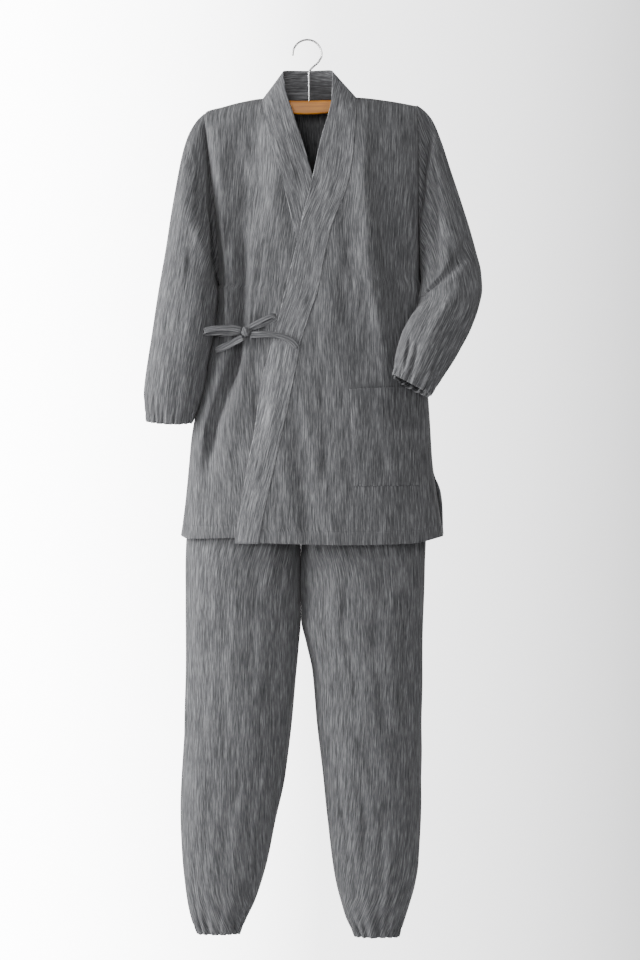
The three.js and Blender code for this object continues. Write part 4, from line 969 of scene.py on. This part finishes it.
def make_hook(material):
    degrees = np.arange(187, -16, -4)
    centre_z = WIRE - HOOK_RADIUS
    arc = [
        [HOOK_RADIUS * math.cos(math.radians(d)), 0, -(centre_z + HOOK_RADIUS * math.sin(math.radians(d)))]
        for d in degrees
    ]
    lower = [[18.5, 0, 38], [11, 0, 44.5], [5, 0, 51], [STEM_X, 0, 59], [STEM_X, 0, 75], [STEM_X, 0, 116]]
    centre = smooth_route(arc + lower, 1.0)
    along = unit(np.gradient(centre, axis=0))
    out = np.tile([0.0, 1.0, 0.0], (len(centre), 1))
    side = np.cross(along, out)
    length = line_length(centre)
    radius = WIRE * np.sqrt(np.clip(length / WIRE, 0.02, 1) * (2 - np.clip(length / WIRE, 0.02, 1)))
    angle = np.linspace(0, 2 * math.pi, 20, endpoint=False)
    place = centre[:, None] + radius[:, None, None] * (
        np.cos(angle)[None, :, None] * side[:, None] + np.sin(angle)[None, :, None] * out[:, None])
    rows, columns = place.shape[:2]
    points = np.concatenate([place.reshape(-1, 3), centre[:1], centre[-1:]])
    return make_mesh("hook_wire", points, capped_faces(rows, columns, (1, 1)), None, material)


# --- materials
class Nodes:
    """The node tree of a material or world, with short calls for what is needed here."""

    def __init__(self, owner):
        owner.use_nodes = True
        self.owner = owner
        self.tree = owner.node_tree

    def add(self, kind, settings=None, **inputs):
        node = self.tree.nodes.new(kind)
        for key, value in (settings or {}).items():
            setattr(node, key, value)
        return self.fill(node, **inputs)

    def fill(self, node, **inputs):
        """Sets or joins inputs, named with _ for each space or numbered as _0."""
        for key, value in inputs.items():
            name = int(key[1:]) if key[1:].isdigit() else key.replace("_", " ")
            self.put(node.inputs[name], value)
        return node

    def shade(self, **inputs):
        self.fill(self.tree.nodes["Principled BSDF"], **inputs)
        return self.owner

    def put(self, socket, value):
        if hasattr(value, "is_output"):
            self.tree.links.new(value, socket)
        else:
            socket.default_value = value

    def math(self, operation, a, b=0.0, c=0.0):
        node = self.add("ShaderNodeMath", {"operation": operation}, _0=a, _1=b, _2=c)
        return node.outputs[0]

    def weighed(self, *parts):
        """Sum of values, each times its weight."""
        total = None
        for value, weight in parts:
            part = self.math("MULTIPLY", value, weight)
            total = part if total is None else self.math("ADD", total, part)
        return total

    def noise(self, vector, scale, detail=2.0, roughness=0.5, distortion=0.0):
        stretched = self.add("ShaderNodeVectorMath", {"operation": "MULTIPLY"}, _0=vector, _1=scale)
        node = self.add("ShaderNodeTexNoise", _0=stretched.outputs[0], Scale=1.0, Detail=detail,
                        Roughness=roughness, Distortion=distortion)
        return node.outputs["Fac"]

    def ramp(self, value, stops):
        node = self.add("ShaderNodeValToRGB", _0=value)
        elements = node.color_ramp.elements
        while len(elements) < len(stops):
            elements.new(0.5)
        for element, (place, colour) in zip(elements, stops):
            element.position = place
            element.color = (*colour, 1)
        return node.outputs["Color"]

    def relief(self, height, strength, distance):
        node = self.add("ShaderNodeBump", Strength=strength, Distance=distance, Height=height)
        return node.outputs[0]


def new_nodes(name):
    return Nodes(bpy.data.materials.new(name))


def slub_cotton(name, level):
    """Cotton with thick and thin yarns along the grain. The grain runs along v of the
    cloth's own coordinates, in units of 100 mm."""
    n = new_nodes(name)
    flat = n.add("ShaderNodeUVMap", {"uv_map": "cloth"}).outputs[0]
    broad = n.noise(flat, (7, 0.7, 1), 2.0)
    yarn = n.noise(flat, (52, 2.0, 1), 2.0, 0.6, 0.08)
    thin = n.noise(flat, (112, 5.5, 1), 2.0, 0.65)
    weave = n.noise(flat, (160, 120, 1), 1.0)
    mixed = n.weighed((yarn, 0.48), (thin, 0.45), (broad, 0.07))
    # level scales every tone. A level above 1 gives a lighter copy of the same cloth, which is painted
    # light.
    dark, middle, light = (tuple(level * c for c in tone) for tone in TONES)
    relief = n.weighed((yarn, 0.9), (thin, 0.5), (weave, 0.12))
    return n.shade(
        Base_Color=n.ramp(mixed, [(0.36, dark), (0.5, middle), (0.64, light)]),
        Roughness=n.math("MULTIPLY_ADD", thin, 0.16, 0.8),
        Sheen_Weight=0.1,
        Sheen_Roughness=0.5,
        Specular_IOR_Level=0.2,
        Normal=n.relief(relief, 0.5, 0.0006),
    )


def bar_wood():
    n = new_nodes("bar_wood")
    place = n.add("ShaderNodeUVMap", {"uv_map": "cloth"}).outputs[0]
    grain = n.noise(place, (1.2, 26, 1), 4.0, 0.6, 0.4)
    pores = n.noise(place, (6, 160, 1), 2.0, 0.6)
    value = n.weighed((grain, 0.75), (pores, 0.25))
    return n.shade(
        Base_Color=n.ramp(value, WOOD_TONES),
        Roughness=n.math("MULTIPLY_ADD", pores, 0.2, 0.32),
        Coat_Weight=0.12,
        Coat_Roughness=0.25,
        Normal=n.relief(value, 0.25, 0.0004),
    )


def hook_steel():
    n = new_nodes("hook_steel")
    place = n.add("ShaderNodeTexCoord").outputs["Object"]
    drawn = n.noise(place, (900, 900, 60), 2.0)
    return n.shade(
        Base_Color=n.ramp(drawn, STEEL_TONES),
        Metallic=1.0,
        Roughness=n.math("MULTIPLY_ADD", drawn, 0.12, 0.16),
        Normal=n.relief(drawn, 0.1, 0.0002),
    )


# --- stage
def pale_stage():
    n = new_nodes("pale_floor")
    place = n.add("ShaderNodeTexCoord").outputs["Object"]
    pale = n.shade(Base_Color=n.ramp(n.noise(place, (3, 3, 3)), FLOOR_TONES), Roughness=0.7)
    mesh = bpy.data.meshes.new("floor")
    turn = np.linspace(0, 2 * math.pi, 97)[:-1]
    ring = [(FLOOR_RADIUS * math.cos(a), FLOOR_RADIUS * math.sin(a), FLOOR) for a in turn]
    mesh.from_pydata(ring, [], [list(range(len(ring)))])
    mesh.materials.append(pale)
    floor = bpy.data.objects.new("floor", mesh)
    bpy.context.collection.objects.link(floor)


def area_light(name, place, target, size, power):
    light = bpy.data.lights.new(name, "AREA")
    light.shape = "RECTANGLE"
    light.size, light.size_y = size
    light.energy = power
    lamp = bpy.data.objects.new(name, light)
    lamp.location = place
    lamp.visible_camera = False
    lamp.rotation_euler = Vector([t - p for t, p in zip(target, place)]).to_track_quat("-Z", "Y").to_euler()
    bpy.context.collection.objects.link(lamp)


def pale_world():
    """A pale wall of light behind the object, and a softer light round it."""
    world = bpy.data.worlds.new("studio")
    bpy.context.scene.world = world
    n = Nodes(world)
    place = n.add("ShaderNodeTexCoord").outputs["Generated"]
    across = n.add("ShaderNodeSeparateXYZ", _0=place).outputs["X"]
    fade = n.add("ShaderNodeMapRange", Value=across, From_Min=-WALL_EDGE, From_Max=WALL_EDGE)
    tones = [(at, (grey, grey, grey * 1.01)) for at, grey in WALL_TONES]
    wall = n.fill(
        n.tree.nodes["Background"], Color=n.ramp(fade.outputs[0], tones), Strength=WALL_STRENGTH
    )
    round_it = n.add("ShaderNodeBackground", Color=(1, 1, 1, 1), Strength=AMBIENT)
    seen = n.add("ShaderNodeLightPath").outputs["Is Camera Ray"]
    either = n.add("ShaderNodeMixShader", _0=seen, _1=round_it.outputs[0], _2=wall.outputs[0])
    n.fill(n.tree.nodes["World Output"], Surface=either.outputs[0])


def photo_camera():
    data = bpy.data.cameras.new("camera")
    data.sensor_fit = "AUTO"
    data.sensor_width = 36
    data.lens = data.sensor_width * VIEW_DISTANCE / VIEW_HEIGHT
    data.clip_end = 60
    camera = bpy.data.objects.new("camera", data)
    camera.location = (VIEW_X, -VIEW_DISTANCE, VIEW_Z)
    camera.rotation_euler = (math.radians(90), 0, 0)
    bpy.context.collection.objects.link(camera)
    bpy.context.scene.camera = camera


# --- the whole scene
photo_camera()
pale_world()
pale_stage()
area_light("key", (-3.2, -0.5, 0.3), (0, 0, -0.75), (0.9, 1.9), 135)
area_light("near", (-1.15, -0.5, -0.6), (-0.25, 0, -0.75), (0.3, 1.7), 19)
area_light("front", (-0.7, -3.9, 0.2), (0, 0, -0.7), (1.0, 1.0), 50)
area_light("fill", (1.1, -1.5, 0.55), (0.2, 0, -0.1), (0.7, 0.7), 8)
area_light("behind", (1.3, 3.4, 0.4), (0, 0, -0.7), (1.6, 1.6), 60)

cloth = slub_cotton("slub_cotton", 1.0)
# The collar band is the same cotton with every tone 1.3 times lighter: painted light, standing for the
# light that falls on the raised band.
painted_light_band_cloth = slub_cotton("slub_cotton_band_painted_light", 1.3)
wood, steel = bar_wood(), hook_steel()

front_left = make_front(
    "front_left_cloth", [lambda d: curve(OUTER_SEAM, d) - 1.0, left_side], OUTER_HEM, front_y, cloth)
front_right = make_front(
    "front_right_cloth", [right_side, lambda d: curve(UNDER_SEAM, d) + 1.0], UNDER_HEM, under_y, cloth)
back = make_back(cloth)
collar = make_collar(painted_light_band_cloth)
sleeve_right = make_sleeve(
    "sleeve_right_cloth", RIGHT_SLEEVE, -1, right_side, 0.4, RIGHT_SLEEVE_CREASES, (6, 0), 0.16, 31, cloth)
sleeve_left = make_sleeve(
    "sleeve_left_cloth", LEFT_SLEEVE, 1, left_side, 1.7, LEFT_SLEEVE_CREASES, (0, 8), 0.0, 32, cloth)
pocket = make_pocket(cloth)
leg_right = make_leg("leg_right_cloth", RIGHT_LEG, -1, 0.9, RIGHT_LEG_CREASES, 41, cloth)
leg_left = make_leg("leg_left_cloth", LEFT_LEG, 1, 2.3, LEFT_LEG_CREASES, 42, cloth)
waistband = make_waistband(cloth)
knot = make_knot(cloth)

# Cut of each sheet in metres, all round on a tube, and its flat area in square metres.
SHEETS = [
    # piece, node, held, rests on, width, length, area
    (front_left, "jacket_front_left", "hung", "hanger_bar", 0.359, 0.813, 0.182),
    (front_right, "jacket_front_right", "hung", "hanger_bar", 0.343, 0.801, 0.176),
    (back, "jacket_back", "hung", "hanger_bar", 0.501, 0.775, 0.320),
    (collar, "collar", "hung", "jacket_back", 0.061, 1.826, 0.0973),
    (sleeve_right, "sleeve_right", "gathered", "jacket_back", 0.615, 0.551, 0.131),
    (sleeve_left, "sleeve_left", "gathered", "jacket_back", 0.636, 0.571, 0.124),
    (pocket, "pocket", "hung", "jacket_front_left", 0.136, 0.170, 0.0217),
    (leg_right, "trouser_leg_right", "gathered", "waistband", 0.532, 0.983, 0.429),
    (leg_left, "trouser_leg_left", "gathered", "waistband", 0.560, 0.984, 0.439),
    (waistband, "waistband", "gathered", "jacket_back", 0.720, 0.039, 0.0265),
]
for piece, node, held, rests_on, width, length, area in SHEETS:
    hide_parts(node)

for name, route, width, thick, across in TIES:
    strip = make_strip(name + "_cloth", route, width, thick, across, len(name), cloth)
    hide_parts(name)
    length = sum(math.dist(a, b) for a, b in zip(route, route[1:])) / 1000
    held = "hung" if name == "bow_tail" else "folded"
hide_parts("bow_knot")

bar = make_bar(wood)
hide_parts("hanger_bar")
hook = make_hook(steel)
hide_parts("hanger_hook")
